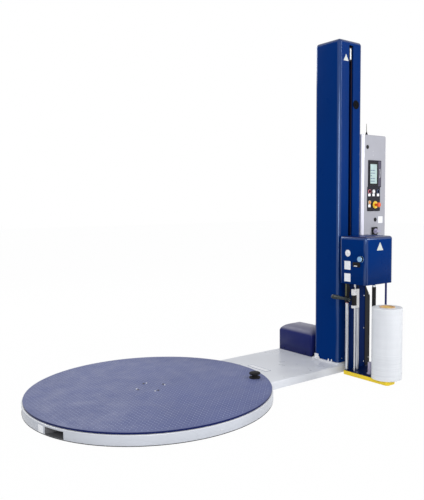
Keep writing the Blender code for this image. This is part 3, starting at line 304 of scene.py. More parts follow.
class Finish:
    """A Principled material with procedural colour, roughness and relief in object space."""

    def __init__(self, name, colour, roughness, metallic=0.0, specular=0.5):
        self.material = bpy.data.materials.new(name)
        self.material.use_nodes = True
        self.tree = self.material.node_tree
        self.shader = self.tree.nodes["Principled BSDF"]
        self.colour = colour
        fill(self.shader, Base_Color=(*colour, 1.0), Roughness=roughness, Metallic=metallic,
             Specular_IOR_Level=specular)
        self.space = self.tree.nodes.new("ShaderNodeTexCoord").outputs["Object"]

    def node(self, kind, **values):
        made = self.tree.nodes.new(kind)
        for key, value in values.items():
            setattr(made, key, value)
        return made

    def link(self, start, end):
        self.tree.links.new(start, end)

    def stretched(self, scale):
        mapping = fill(self.node("ShaderNodeMapping"), Scale=scale)
        self.link(self.space, mapping.inputs["Vector"])
        return mapping.outputs["Vector"]

    def noise(self, scale, detail, stretch=None, rough=0.55):
        noise = fill(self.node("ShaderNodeTexNoise"), Scale=scale, Detail=detail, Roughness=rough)
        self.link(self.stretched(stretch) if stretch else self.space, noise.inputs["Vector"])
        return noise.outputs["Fac"]

    def ranged(self, value, low, high, start=0.3, end=0.7):
        shift = fill(self.node("ShaderNodeMapRange"), From_Min=start, From_Max=end, To_Min=low, To_Max=high)
        self.link(value, shift.inputs["Value"])
        return shift.outputs["Result"]

    def mixed(self, factor, colour):
        """A mix node into the base colour, with its second colour set."""
        mix = fill(self.node("ShaderNodeMix", data_type="RGBA"), B=(*colour, 1.0))
        self.link(factor, mix.inputs["Factor"])
        return mix

    def blended(self, factor, first, second):
        mix = fill(self.mixed(factor, second), A=(*first, 1.0))
        self.link(mix.outputs["Result"], self.shader.inputs["Base Color"])

    def tinted(self, factor, colour):
        """Blends another colour over what the base colour already gets."""
        before = self.shader.inputs["Base Color"].links[0].from_socket
        mix = self.mixed(factor, colour)
        self.link(before, mix.inputs["A"])
        self.link(mix.outputs["Result"], self.shader.inputs["Base Color"])

    def varied(self, amount, scale):
        """Slow change of tone around the base colour."""
        dark = [c * (1 - amount) for c in self.colour]
        light = [min(1.0, c * (1 + amount)) for c in self.colour]
        self.blended(self.ranged(self.noise(scale, 3.0), 0, 1), dark, light)

    def uneven(self, low, high, scale):
        """Roughness that drifts between two values."""
        self.link(self.ranged(self.noise(scale, 5.0), low, high), self.shader.inputs["Roughness"])

    def height(self, vector):
        split = self.node("ShaderNodeSeparateXYZ")
        self.link(vector, split.inputs["Vector"])
        return split.outputs["Z"]

    def upward(self):
        """How far the surface faces up; it masks painted light on tops and painted shade on bends that look up."""
        return self.height(self.node("ShaderNodeNewGeometry").outputs["Normal"])

    def bumped(self, height, depth, strength):
        bump = fill(self.node("ShaderNodeBump"), Strength=strength, Distance=depth)
        self.link(height, bump.inputs["Height"])
        self.link(bump.outputs["Normal"], self.shader.inputs["Normal"])


def paint(name, colour, roughness, specular=0.5, coat=0.0, grain=450.0, relief=0.00012):
    """Powder-coated sheet metal: slight orange peel, slow changes of tone and gloss."""
    made = Finish(name, colour, roughness, specular=specular)
    made.varied(0.05, 2.2)
    made.uneven(roughness * 0.85, roughness * 1.2, 9.0)
    made.bumped(made.noise(grain, 2.0), relief, 0.35)
    fill(made.shader, Coat_Weight=coat, Coat_Roughness=0.08)
    return made


def metal(name, colour, roughness, stretch, scale, metallic=1.0):
    """Bare or plated metal with the drawn lines of its making."""
    made = Finish(name, colour, roughness, metallic)
    lines = made.noise(scale, 6.0, stretch, 0.7)
    made.blended(made.ranged(lines, 0, 1), [c * 0.86 for c in colour], [min(1, c * 1.06) for c in colour])
    made.link(made.ranged(lines, roughness * 0.75, roughness * 1.35), made.shader.inputs["Roughness"])
    made.bumped(lines, 0.00015, 0.25)
    return made


def plastic(name, colour, roughness, specular=0.5, grain=900.0):
    """Moulded plastic with a fine spark-eroded grain."""
    made = Finish(name, colour, roughness, specular=specular)
    made.varied(0.06, 6.0)
    made.uneven(roughness * 0.88, roughness * 1.15, 25.0)
    made.bumped(made.noise(grain, 2.0), 0.0001, 0.3)
    return made


def bend_paint():
    """The blue where the sheet is bent: shinier, with bluish highlights, and darkened by painted shade on the bends
    that look up.
    """
    made = paint("blue_paint_bend", (0.0, 0.021, 0.130), 0.17, 0.85)
    fill(made.shader, Specular_Tint=(0.50, 0.68, 1.0, 1.0))
    # Painted shade: bends that look up are blended towards a near-black navy.
    made.tinted(made.ranged(made.upward(), 0.0, 1.0, 0.25, 0.8), (0.006, 0.005, 0.065))
    return made


def table_paint():
    """Blue-grey table top with paler scuffs; its pale grey-blue is partly the blue paint and partly painted
    reflection of the bright room at a low view.
    """
    made = paint("table_paint", (0.105, 0.125, 0.265), 0.55, 0.22, grain=300.0, relief=0.0003)
    scuffs = made.ranged(made.noise(5.0, 8.0, None, 0.7), 0.0, 0.10, 0.52, 0.72)
    made.tinted(scuffs, (0.20, 0.22, 0.36))
    return made


def navy_plastic():
    """Dark cover with dust on it, and painted light on the faces that look up: a pale grey-lilac blended in for the
    light and reflection on its top.
    """
    made = plastic("navy_plastic", (0.010, 0.016, 0.115), 0.36, 0.14, 600.0)
    dust = made.ranged(made.noise(7.0, 8.0, (1, 1, 0.4)), 0.0, 0.18, 0.5, 0.75)
    made.tinted(dust, (0.05, 0.05, 0.15))
    # Painted light: faces that look up are blended far towards a pale grey-lilac, so the top looks lit.
    made.tinted(made.ranged(made.upward(), 0.0, 0.92, 0.35, 1.0), (0.195, 0.190, 0.255))
    return made


def fork_paint():
    # Painted shade in part: the tubes take a dark grey, darker than their light grey paint, for the shade deep inside
    # them.
    made = Finish("fork_pocket_paint", (0.13, 0.13, 0.14), 0.5)
    made.varied(0.2, 8.0)
    made.uneven(0.4, 0.65, 20.0)
    return made


def display_finish():
    """Pale liquid-crystal window with a soft glow."""
    pale = (0.42, 0.55, 0.54)
    made = Finish("display_glass", pale, 0.12)
    made.varied(0.08, 20.0)
    fill(made.shader, Emission_Color=(*pale, 1.0), Emission_Strength=0.12, Coat_Weight=0.5)
    return made


def film_finish():
    """Wound stretch film: milky, with faint bands across the winding that lie closer together low down."""
    made = Finish("stretch_film", (0.80, 0.82, 0.85), 0.35, specular=0.15)
    bands = made.noise(1.0, 6.0, (1.2, 1.2, 42.0), 0.6)
    made.blended(made.ranged(bands, 0, 1, 0.3, 0.7), (0.71, 0.725, 0.755), (0.745, 0.76, 0.79))
    fine = made.noise(1.0, 4.0, (3.0, 3.0, 150.0), 0.6)
    low_down = made.ranged(made.height(made.space), 1.0, 0.0, 0.15, 0.32)
    lines = made.node("ShaderNodeMath", operation="MULTIPLY")
    made.link(made.ranged(fine, 0.0, 0.35, 0.52, 0.62), lines.inputs[0])
    made.link(low_down, lines.inputs[1])
    made.tinted(lines.outputs[0], (0.55, 0.57, 0.61))
    streaks = made.noise(1.0, 5.0, (26.0, 26.0, 1.2), 0.6)
    made.tinted(made.ranged(streaks, 0.0, 0.22, 0.45, 0.7), (0.66, 0.68, 0.72))
    made.bumped(bands, 0.0003, 0.2)
    fill(made.shader, Subsurface_Weight=0.25, Subsurface_Radius=(0.02, 0.02, 0.02), Subsurface_Scale=0.5)
    return made


def card_finish():
    """Brown core board with paper fibres."""
    made = Finish("core_cardboard", (0.70, 0.44, 0.20), 0.85, specular=0.2)
    fibres = made.noise(70.0, 8.0, (1, 1, 0.15))
    made.blended(made.ranged(fibres, 0, 1), (0.62, 0.36, 0.17), (0.78, 0.54, 0.30))
    made.bumped(made.noise(500.0, 3.0), 0.0003, 0.4)
    return made


# Finish by its short name. A row holds the material's name, or None where that is the short name and the kind, then
# colour, roughness and specular level, and where they differ from the usual the coat, grain and relief of a paint, or
# the grain of a plastic. For a metal the stretch and scale of its lines follow the roughness.
PAINTS = {
    "blue": (None, (0.0, 0.0255, 0.155), 0.30, 0.02),
    "tray_blue": ("tray_paint", (0.001, 0.009, 0.055), 0.35, 0.05),
    # The tread's pale blue is partly painted reflection, as on the table top.
    "tread": (None, (0.235, 0.260, 0.430), 0.50, 0.22, 0.0, 300.0, 0.0003),
    # The rim's dark navy is partly painted shade.
    "table_edge": (None, (0.004, 0.010, 0.075), 0.3, 0.12),
    "grey": (None, (0.70, 0.715, 0.755), 0.30, 0.3),
    "plate": ("back_plate_paint", (0.001, 0.013, 0.080), 0.35, 0.03),
    "ring": (None, (0.54, 0.56, 0.61), 0.30, 0.3),
    # The pale paint of the painted highlight along the top of the ring's lip.
    "lip": ("ring_lip_paint", (0.80, 0.81, 0.84), 0.25, 0.5, 0.3),
    "cabinet": (None, (0.385, 0.385, 0.430), 0.42, 0.2, 0.0, 700.0, 0.0002),
    "guard": ("black_guard_paint", (0.010, 0.010, 0.012), 0.45, 0.15),
    "yellow": (None, (0.84, 0.62, 0.03), 0.38, 0.3),
    "foot": (None, (0.74, 0.75, 0.78), 0.3),
    # The pale paint of the painted highlight on the cabinet's rounded upright.
    "edge": ("cabinet_edge_paint", (0.84, 0.83, 0.94), 0.2, 0.5, 0.3),
}
PLASTICS = {
    "black": (None, (0.008, 0.008, 0.010), 0.42, 0.15),
    "gloss_black": (None, (0.012, 0.012, 0.020), 0.2, 0.2, 1500.0),
    "panel_side": (None, (0.060, 0.052, 0.090), 0.3, 0.3, 1500.0),
    "rubber": ("black_rubber", (0.014, 0.014, 0.015), 0.7, 0.12, 300.0),
    "nylon": ("white_nylon", (0.72, 0.72, 0.69), 0.45),
    "white": (None, (0.80, 0.80, 0.82), 0.35),
    "patch": ("blank_patch", (0.86, 0.865, 0.89), 0.45, 0.5, 1500.0),
    "pale_patch": ("pale_patch", (0.60, 0.62, 0.58), 0.45, 0.5, 1500.0),
    "red": (None, (0.80, 0.115, 0.015), 0.28, 0.4),
    "amber": (None, (0.66, 0.24, 0.04), 0.3),
    "rose": (None, (0.78, 0.25, 0.30), 0.3),
    "slate": (None, (0.05, 0.09, 0.20), 0.3),
    "beige": (None, (0.80, 0.66, 0.46), 0.35),
    "lilac": (None, (0.36, 0.34, 0.47), 0.35),
    "brown": (None, (0.030, 0.018, 0.022), 0.5, 0.2),
    "lever": (None, (0.012, 0.020, 0.022), 0.33, 0.5),
    "olive": (None, (0.10, 0.10, 0.055), 0.45, 0.2),
    "signal_yellow": (None, (0.88, 0.60, 0.03), 0.35),
    # Near-black for dark parts, and for the painted shade of the motor cover's vents.
    "dark": ("dark_recess", (0.004, 0.004, 0.006), 0.7, 0.05),
    "pale_blue": (None, (0.24, 0.44, 0.66), 0.3),
}
METALS = {
    "steel": ("zinc_steel", (0.66, 0.67, 0.69), 0.32, (1, 1, 0.05), 180.0),
    "dark_steel": ("dark_steel", (0.10, 0.10, 0.11), 0.45, (1, 1, 1), 60.0),
    "aluminium": ("roller_aluminium", (0.58, 0.595, 0.63), 0.30, (1, 1, 0.05), 90.0),
    "zinc": ("pale_zinc", (0.86, 0.86, 0.87), 0.42, (1, 1, 1), 90.0, 0.55),
}
OTHERS = {"blue_bend": bend_paint, "table": table_paint, "navy": navy_plastic, "fork": fork_paint,
          "screen": display_finish, "film": film_finish, "card": card_finish}
M = {key: make().material for key, make in OTHERS.items()}
for make, kind, rows in ((paint, "paint", PAINTS), (plastic, "plastic", PLASTICS), (metal, "metal", METALS)):
    for key, (name, *values) in rows.items():
        M[key] = make(name or f"{key}_{kind}", *values).material

# The finish of each CAD node that is shown as it is.
CARRIED = {
    "fork": ("fork_pocket_left", "fork_pocket_right"),
    "dark_steel": ("floor_plate", "bridge_frame", "table_gearmotor", "lift_gearmotor", "drive_chain",
                   "table_sprocket", "motor_sprocket"),
    "steel": ("turntable_hub", "lift_pulley", "idler_pulley", "idler_bracket", "trolley", "carriage_shelf",
              "guide_rod"),
    "grey": ("bridge_cover",),
    "foot": ("mast_foot",),
    "rubber": ("lift_belt",),
    "nylon": [f"{kind}_wheel_{i}" for kind in ("support", "guide") for i in range(1, 5)],
    "cabinet": ("control_cabinet",),
    "black": ("main_switch_plate", "roll_mandrel", "roller_head"),
    "lilac": ("main_switch",),
    "plate": ("back_plate",),
    "tray_blue": ("carriage_tray",),
    "guard": ("side_guard",),
    "navy": ("corner_post",),
    "zinc": ("roller_bracket",),
    "yellow": ("safety_bumper",),
}
for key, names in CARRIED.items():
    for name in names:
        nodes[name].data.materials.clear()
        nodes[name].data.materials.append(M[key])


# Camera and studio
FOCAL_LENGTH = 43.95
SENSOR = 36.0
SIDE_SHIFT = -0.056
CAMERA_AT = Vector((-2.0523, -3.5702, 1.3260))
CAMERA_YAW = 0.6712
CAMERA_DOWN = 0.0772
CAMERA_ROLL = -0.0064
SKY_COLOUR, SKY_STRENGTH = (0.93, 0.96, 1.0, 1.0), 0.42
FLOOR_SIZE, FLOOR_DEPTH = 60.0, 0.0005
FLOOR_GLOW = 0.985  # what is left of 1 shows the object's shadow


def make_camera():
    data = bpy.data.cameras.new("camera")
    data.sensor_width = SENSOR
    data.lens = FOCAL_LENGTH
    data.shift_x = SIDE_SHIFT
    camera = linked("camera", data)
    level = Vector((cos(CAMERA_YAW), -sin(CAMERA_YAW), 0))
    ahead = Vector((sin(CAMERA_YAW) * cos(CAMERA_DOWN), cos(CAMERA_YAW) * cos(CAMERA_DOWN), -sin(CAMERA_DOWN)))
    right = level * cos(CAMERA_ROLL) + level.cross(ahead) * sin(CAMERA_ROLL)
    above = right.cross(ahead)
    rows = [(right[i], above[i], -ahead[i], CAMERA_AT[i]) for i in range(3)]
    camera.matrix_world = Matrix((*rows, (0, 0, 0, 1)))
    bpy.context.scene.camera = camera


def seen_directly(tree):
    """1 for camera, glossy and transmission rays, which see the background white; 0 for the rays that light."""
    path = tree.nodes.new("ShaderNodeLightPath")
    seen = path.outputs["Is Camera Ray"]
    for name in ("Is Glossy Ray", "Is Transmission Ray"):
        either = tree.nodes.new("ShaderNodeMath")
        either.operation = "MAXIMUM"
        tree.links.new(seen, either.inputs[0])
        tree.links.new(path.outputs[name], either.inputs[1])
        seen = either.outputs[0]
    return seen


def mix_shaders(tree, factor, first, second, output):
    mix = tree.nodes.new("ShaderNodeMixShader")
    for i, source in enumerate((factor, first.outputs[0], second.outputs[0])):
        tree.links.new(source, mix.inputs[i])
    tree.links.new(mix.outputs[0], tree.nodes[output].inputs["Surface"])


def make_world():
    world = bpy.data.worlds.new("studio")
    bpy.context.scene.world = world
    world.use_nodes = True
    tree = world.node_tree
    light = fill(tree.nodes["Background"], Color=SKY_COLOUR, Strength=SKY_STRENGTH)
    white = fill(tree.nodes.new("ShaderNodeBackground"), Color=(1, 1, 1, 1), Strength=1.0)
    mix_shaders(tree, seen_directly(tree), light, white, "World Output")


def make_floor():
    bm = bmesh.new()
    half = FLOOR_SIZE / 2
    corners_of_floor = ((-half, -half), (half, -half), (half, half), (-half, half))
    bm.faces.new([bm.verts.new((x, y, -FLOOR_DEPTH)) for x, y in corners_of_floor])
    floor = mesh_object("floor", bm)
    made = Finish("studio_floor", (0.9, 0.9, 0.9), 0.9, specular=0.0)
    glow = fill(made.node("ShaderNodeEmission"), Strength=1.0)
    amount = made.node("ShaderNodeMath", operation="MULTIPLY")
    amount.inputs[1].default_value = FLOOR_GLOW
    made.link(seen_directly(made.tree), amount.inputs[0])
    mix_shaders(made.tree, amount.outputs[0], made.shader, glow, "Material Output")
    floor.data.materials.append(made.material)


def area_light(name, at, target, size, power):
    data = bpy.data.lights.new(name, "AREA")
    data.shape = "RECTANGLE"
    data.size, data.size_y = size
    data.energy = power
    lamp = linked(name, data)
    lamp.location = at
    lamp.rotation_mode = "QUATERNION"
    lamp.rotation_quaternion = (Vector(target) - Vector(at)).to_track_quat("-Z", "Y")


centre_of_machine = (0.7, 0.0, 0.8)
make_camera()
make_world()
make_floor()
area_light("key_softbox", (-2.7, -5.0, 2.2), (1.5, -0.3, 1.6), (3.0, 2.6), 185)
area_light("right_softbox", (4.6, -4.6, 3.0), centre_of_machine, (1.6, 2.6), 130)
area_light("back_softbox", (0.5, 5.0, 4.5), centre_of_machine, (4.0, 2.0), 185)


# Turntable and ring
FINE = 256  # steps round the table and its ring
TREAD_PITCH = 0.0245
TREAD_LENGTH, TREAD_WIDTH = 0.021, 0.00744
TREAD_HEIGHT, TREAD_ROOT = 0.0011, 0.0004
LOZENGE = ((0.5, 0.0), (0.25, 0.42), (-0.25, 0.42), (-0.5, 0.0), (-0.25, -0.42), (0.25, -0.42))
LOZENGE_RIDGE = (0.2, -0.2)
LOZENGE_FACES = ((0, 1, 6), (1, 2, 7, 6), (2, 3, 7), (3, 4, 7), (4, 5, 6, 7), (5, 0, 6), (5, 4, 3, 2, 1, 0))
CENTRE_SCREW_CIRCLE, CENTRE_PIN_ASIDE = 0.0975, 0.022
FORK_ROOM = 0.0004  # round the tubes in the ring's openings
RING_PATCH = (-171.4, -167.9)  # degrees


def tread_plate(top, radius):
    """Raised lozenges that lie crosswise in turn, on the whole plate but its rim and its middle."""
    bm = bmesh.new()
    count = int(radius / TREAD_PITCH) + 1
    lozenge = [(a * TREAD_LENGTH, b * TREAD_WIDTH, top - TREAD_ROOT) for a, b in LOZENGE]
    lozenge += [(a * TREAD_LENGTH, 0.0, top + TREAD_HEIGHT) for a in LOZENGE_RIDGE]
    for i in range(-count, count + 1):
        for j in range(-count, count + 1):
            x, y = i * TREAD_PITCH, j * TREAD_PITCH
            away = hypot(x, y)
            if away > radius - TREAD_LENGTH * 0.75 or away < TREAD_LENGTH * 0.4:
                continue
            turn = radians(45 if (i + j) % 2 else -45)
            c, s = cos(turn), sin(turn)
            points = [bm.verts.new((x + u * c - v * s, y + u * s + v * c, h)) for u, v, h in lozenge]
            for face in LOZENGE_FACES:
                bm.faces.new([points[k] for k in face])
    return bm


def turntable():
    low, high = corners("turntable_plate")
    radius = high.x
    under, skirt = high.z - 0.005, radius - 0.004
    lip, hem = 0.0012, 0.0006
    plate = lathe([(0, under), (skirt, under), (skirt, low.z), (radius - hem, low.z), (radius, low.z + hem),
                   (radius, high.z - lip), (radius - lip * 0.3, high.z - lip * 0.3), (radius - lip, high.z),
                   (0, high.z)], FINE)
    obj = piece("table_plate", plate, "table", "turntable", ["turntable_plate"])
    # Painted shade in part: the rim faces take a dark navy, darker than the blue paint, for the shade in the gap
    # below the rim.
    second_finish(obj, "table_edge", lambda face: face.center.xy.length > radius - 0.003 and face.normal.z < 0.9)
    piece("table_tread", tread_plate(high.z, radius - 0.006), "tread", "turntable", sharp=20)

    screws, pins = [], []
    for turn in (0, 90, 180, 270):
        at = outwards(turn) * CENTRE_SCREW_CIRCLE + UP * high.z
        screws += socket_screws([at], UP, 0.0075)
        pins += socket_screws([at + outwards(turn - 90) * CENTRE_PIN_ASIDE], UP, 0.0055)
    piece("table_centre_screws", screws, "dark_steel", "turntable")
    steel("table_centre_pins", pins, "turntable")


def film_anchor():
    """Rubber knob with a narrow neck, round which the film's end is tied."""
    low, high = corners("film_anchor")
    r, height = half_width("film_anchor"), high.z - low.z
    foot = [(0, 0), (r * 0.98, 0), (r, 0.001), (r, 0.006), (r * 0.96, 0.0085), (r * 0.62, 0.0135), (r * 0.48, 0.018)]
    neck = [(r * 0.45, height * 0.5), (r * 0.50, height - 0.022), (r * 0.86, height - 0.0175)]
    head = [(r * 0.985, height - 0.0155), (r, height - 0.012), (r * 0.98, height - 0.007), (r * 0.86, height - 0.003),
            (r * 0.6, height - 0.0008), (r * 0.24, height - 0.0004), (r * 0.22, height - 0.002), (0, height - 0.002)]
    knob = lathe(foot + neck + head, 64, middle("film_anchor").xy, base=low.z)
    piece("film_anchor_knob", knob, "rubber", "turntable", ["film_anchor"])


def base_ring():
    low, high = corners("base_ring")
    radius = high.x
    wall, lip, sheet, bend = 0.004, 0.033, 0.003, 0.0022
    profile = [(radius - bend, low.z), (radius - bend * 0.3, low.z + bend * 0.3), (radius, low.z + bend),
               (radius, high.z - bend), (radius - bend * 0.3, high.z - bend * 0.3), (radius - bend, high.z),
               (radius - lip, high.z), (radius - lip, high.z - sheet), (radius - wall, high.z - sheet),
               (radius - wall, low.z + sheet), (radius - lip, low.z + sheet), (radius - lip, low.z)]
    obj = piece("table_ring", lathe(profile, FINE), "ring", "base", ["base_ring"])
    # Painted highlight: the top of the lip near its outer edge takes a much paler paint, for the light it catches.
    second_finish(obj, "lip", lambda face: face.center.z > high.z - 0.003 and face.center.xy.length > radius - 0.02)
    for side in ("left", "right"):
        tube_low, tube_high = corners(f"fork_pocket_{side}")
        opening = block((-radius - 0.1, tube_low.y - FORK_ROOM, low.z - 0.01),
                        (-0.55, tube_high.y + FORK_ROOM, tube_high.z + FORK_ROOM))
        cut(obj, opening, f"{side}_fork_way")
    chain_low, chain_high = corners("drive_chain")
    window = block((0.7, chain_low.y - 0.02, chain_low.z - 0.008),
                   (radius + 0.05, -chain_low.y + 0.02, chain_high.z + 0.008))
    cut(obj, window, "chain_way")

    patch = band((0, 0), radius + 0.0006, radius + GAP, *RING_PATCH, 10)
    piece("ring_blank_patch", prism(patch, low.z + 0.003, high.z - 0.014), "patch", "base")
    # Painted shadow: a thin black ring under the foot of the ring stands in for the dark contact shadow along its
    # lower edge.
    shadow_ring = ring(radius - 0.0008, radius - 0.0030, 0.0004, low.z - GAP, steps=FINE)
    piece("ring_foot_painted_shadow", shadow_ring, "rubber", "base")
    screws = []
    for angle in (-91.5, -30.0, 91.5, 150.0):
        screws += socket_screws([outwards(angle) * radius + UP * 0.027], outwards(angle), 0.0045)
    steel("ring_screws", screws, "base")


turntable()
film_anchor()
base_ring()


# Bridge, motor cover and mast
SHEET = 0.004
TOP_RADIUS = 0.028
SLOT_WIDTH, SLOT_RETURN = 0.046, 0.0025
PLUG_AT = (1.657, 2.080)  # X and Z on the mast's front
TRIANGLE_MIDDLE, TRIANGLE_FOOT, TRIANGLE_SIZE = 1.5405, 2.4005, 0.056


def bridge():
    top = corners("bridge_cover")[1].z
    flat("bridge_label_rim", (0.902, -0.154), (0.955, 0.067), 0.004, top + GAP, top + 0.0003, "Z", "slate", "base")
    outline = rounded_rectangle((0.907, -0.149), (0.950, 0.062), 0.003)
    label = rounded_prism(outline, top + 0.0003, top + 0.0008, "Z", 0.0002, 1)
    piece("bridge_blank_label", label, "patch", "base")


def blank_triangle(name, foot, front, body):
    """An empty sign on a face that looks to the front; its foot is (low X, high X, Z), then its height."""
    x0, x1, z, height = foot
    outline = [(x0, z), (x1, z), ((x0 + x1) / 2, z + height)]
    piece(name, rounded_prism(outline, front - 0.0006, front - GAP, "Y", 0.0002, 1), "pale_patch", body)


def mast():
    """Folded mast with its rounded top in one skin, and the slot with its returned edges."""
    low, body_high = corners("mast_column")
    high = corners("mast_cap")[1]
    slot_low = middle("trolley").x - SLOT_WIDTH / 2
    slot_high = slot_low + SLOT_WIDTH
    shell = piece("mast_skin", hood_mesh(low, high, TOP_RADIUS, 10), "blue", "base",
                  ["mast_column", "mast_cap"], closed=False)
    thicken(shell, SHEET)
    opening = block((slot_low, low.y - 0.02, low.z - 0.02), (slot_high, low.y + 0.02, body_high.z + 0.004))
    cut(shell, opening, "mast_slot")
    gloss_bends(shell)
    inside = low.y + 0.016
    returns = [block((x, low.y + SHEET * 0.5, low.z + 0.002), (x + SLOT_RETURN, inside, body_high.z + 0.003))
               for x in (slot_low - SLOT_RETURN, slot_high)]
    piece("mast_slot_edges", returns, "blue_bend", "base")
    wear = block((slot_high - 0.0026, inside - 0.003, low.z + 0.002),
                 (slot_high - 0.0002, inside + 0.005, body_high.z))
    piece("mast_slot_wear_strip", wear, "brown", "base")

    strip = block((slot_low + 0.011, low.y + 0.0005, 2.415), (slot_low + 0.024, low.y + 0.0030, 2.4985), 0.0006)
    holder = block((slot_low + 0.0005, low.y + 0.0030, 2.405), (slot_low + 0.026, low.y + 0.0055, 2.506))
    piece("slot_sight_strip", strip, "white", "base")
    piece("slot_strip_holder", holder, "guard", "base")
    plug = lathe([(0, 0), (0.034, 0), (0.034, 0.0015), (0.0315, 0.004), (0.022, 0.0045), (0.021, 0.003),
                  (0.010, 0.003), (0.0095, 0.005), (0.0, 0.0055)], 48)
    piece("mast_round_plug", turned(plug, facing(FRONT), (PLUG_AT[0], low.y, PLUG_AT[1])), "dark", "base")
    side = TRIANGLE_SIZE / 2
    blank_triangle("mast_blank_triangle", (TRIANGLE_MIDDLE - side, TRIANGLE_MIDDLE + side, TRIANGLE_FOOT,
                                           TRIANGLE_SIZE * 0.92), low.y, "base")

    screws = socket_screws([(x, low.y, 0.10) for x in (low.x + 0.045, high.x - 0.045)], FRONT, 0.0045)
    beside = [(high.x, y, z) for z in (0.30, 1.10, 1.90) for y in (low.y + 0.05, high.y - 0.05)]
    steel("mast_screws", screws + socket_screws(beside, RIGHT, 0.0045), "base")
    mast_foot_trim(low, high)


def mast_foot_trim(low, high):
    """Bolts with white caps and a small corner bracket on the foot flange, and cable clips behind it."""
    foot_low, foot_high = corners("mast_foot")
    top = foot_high.z
    caps = []
    for y in (low.y + 0.061, low.y + 0.094, high.y - 0.060):
        x = foot_low.x + 0.0065
        caps += hex_bolt((x, y, top), UP, 0.0068)
        caps.append(rod(0.0052, top + 0.0070, top + 0.018, (x, y), "Z", 20, 0.0015))
    for x in (low.x + 0.04, high.x - 0.04):
        caps += hex_bolt((x, foot_high.y - 0.0065, top), UP, 0.0068)
    piece("foot_bolt_caps", caps, "white", "base")
    angle = [(0.0, 0.0), (0.036, 0.0), (0.036, 0.004), (0.004, 0.004), (0.004, 0.034), (0.0, 0.034)]
    outline = [(low.x - 0.0005 - a, top + 0.0002 + b) for a, b in angle]
    piece("foot_corner_bracket", prism(outline, high.y - 0.050, high.y - 0.010, "Y"), "white", "base")
    clips = [block((low.x + 0.012, y, 0.0565), (low.x + 0.020, y + 0.006, 0.078), 0.001)
             for y in (high.y + 0.008, high.y + 0.024)]
    piece("foot_cable_clips", clips, "dark", "base")


def motor_cover():
    """Pressed cover: upright walls that turn into a domed top, as the CAD has it, in a finer mesh."""
    low, high = corners("motor_cover")
    shoulder, rise, corner, steps = 0.100, 0.065, 0.018, 16
    rows = [(0.0, low.z)]
    for i in range(steps + 1):
        turn = pi / 2 * i / steps
        rows.append((shoulder * (1 - cos(turn)), high.z - rise + rise * sin(turn)))
    bm = bmesh.new()
    rings = []
    for inset, height in rows:
        outline = rounded_rectangle((low.x + inset, low.y + inset), (high.x - inset, high.y - inset), corner, 6)
        rings.append([bm.verts.new((x, y, height)) for x, y in outline])
    skin(bm, rings)
    bm.faces.new(rings[-1])
    bmesh.ops.recalc_face_normals(bm, faces=bm.faces)
    shell = piece("motor_cover_shell", bm, "navy", "base", ["motor_cover"], sharp=50, closed=False)
    thicken(shell, 0.003)
    screws = []
    for y in (low.y + 0.07, high.y - 0.07):
        for x, way in ((low.x, LEFT), (high.x, RIGHT)):
            screws += socket_screws([(x, y, low.z + 0.018)], way, 0.0045)
    piece("motor_cover_screws", screws, "black", "base")
    # Painted shade: the vents are thin near-black slats laid on the cover's face, not openings; they stand in for the
    # dark inside vents.
    vent_shades = []
    for i in range(9):
        y = middle("motor_cover").y - 0.072 + 0.018 * i
        slat = rounded_rectangle((y - 0.0035, low.z + 0.045), (y + 0.0035, low.z + 0.115), 0.003)
        vent_shades.append(prism(slat, high.x + GAP, high.x + 0.0012, "X"))
    piece("motor_cover_painted_vent_shade", vent_shades, "dark", "base")


bridge()
motor_cover()
mast()


# Control cabinet
PANEL_SPLIT, PANEL_WIDE, PANEL_NARROW = 1.445, 1.810, 1.957
DISPLAY_ROWS, ROW_PITCH, ROW_HEIGHT = 5, 0.0215, 0.0060
ROW_DASHES = ((0.006, 0.024), (0.028, 0.046), (0.050, 0.060))
BOW_HEIGHT = 1.556


def cabinet():
    low, high = corners("cabinet_door")
    outline = rounded_rectangle((low.x, low.z), (high.x, high.z), 0.014, 8)
    door = rounded_prism(outline, low.y, high.y - 0.001, "Y", 0.005, 4)
    piece("door_leaf", door, "cabinet", "door", ["cabinet_door"])
    flat("door_seal", *grown(low, high, -0.004, -0.004), 0.006, high.y - 0.001, high.y - GAP, "Y", "rubber", "door",
         "black_rubber")
    face = low.y - 0.0002
    for name, radius, at in (("key_hole", 0.0165, (1.904, 1.183)), ("upper_plug", 0.016, (1.801, 1.763))):
        profile = [(0, 0), (radius, 0), (radius, -0.002), (radius * 0.84, -0.0042), (radius * 0.3, -0.0048),
                   (0, -0.0048)]
        piece(f"door_{name}", lathe(profile, 32, at, "Y", face), "black", "door")
    flat("door_blank_sticker", (1.9415, 1.153), (1.9985, 1.209), 0.003, low.y - 0.0006, low.y - GAP, "Y", "patch",
         "door")
    steel("door_small_screws", socket_screws([(1.870, low.y, 1.730), (1.873, low.y, 1.700)], FRONT, 0.003), "door")
    knuckles = []
    for z in (low.z + 0.10, middle("cabinet_door").z, high.z - 0.10):
        for start, end in ((z - 0.022, z - 0.001), (z + 0.001, z + 0.022)):
            knuckles.append(rod(0.0045, start, end, (high.x + 0.004, low.y + 0.008), steps=24, edge=0.0008))
    steel("door_hinge_barrels", knuckles, "base")


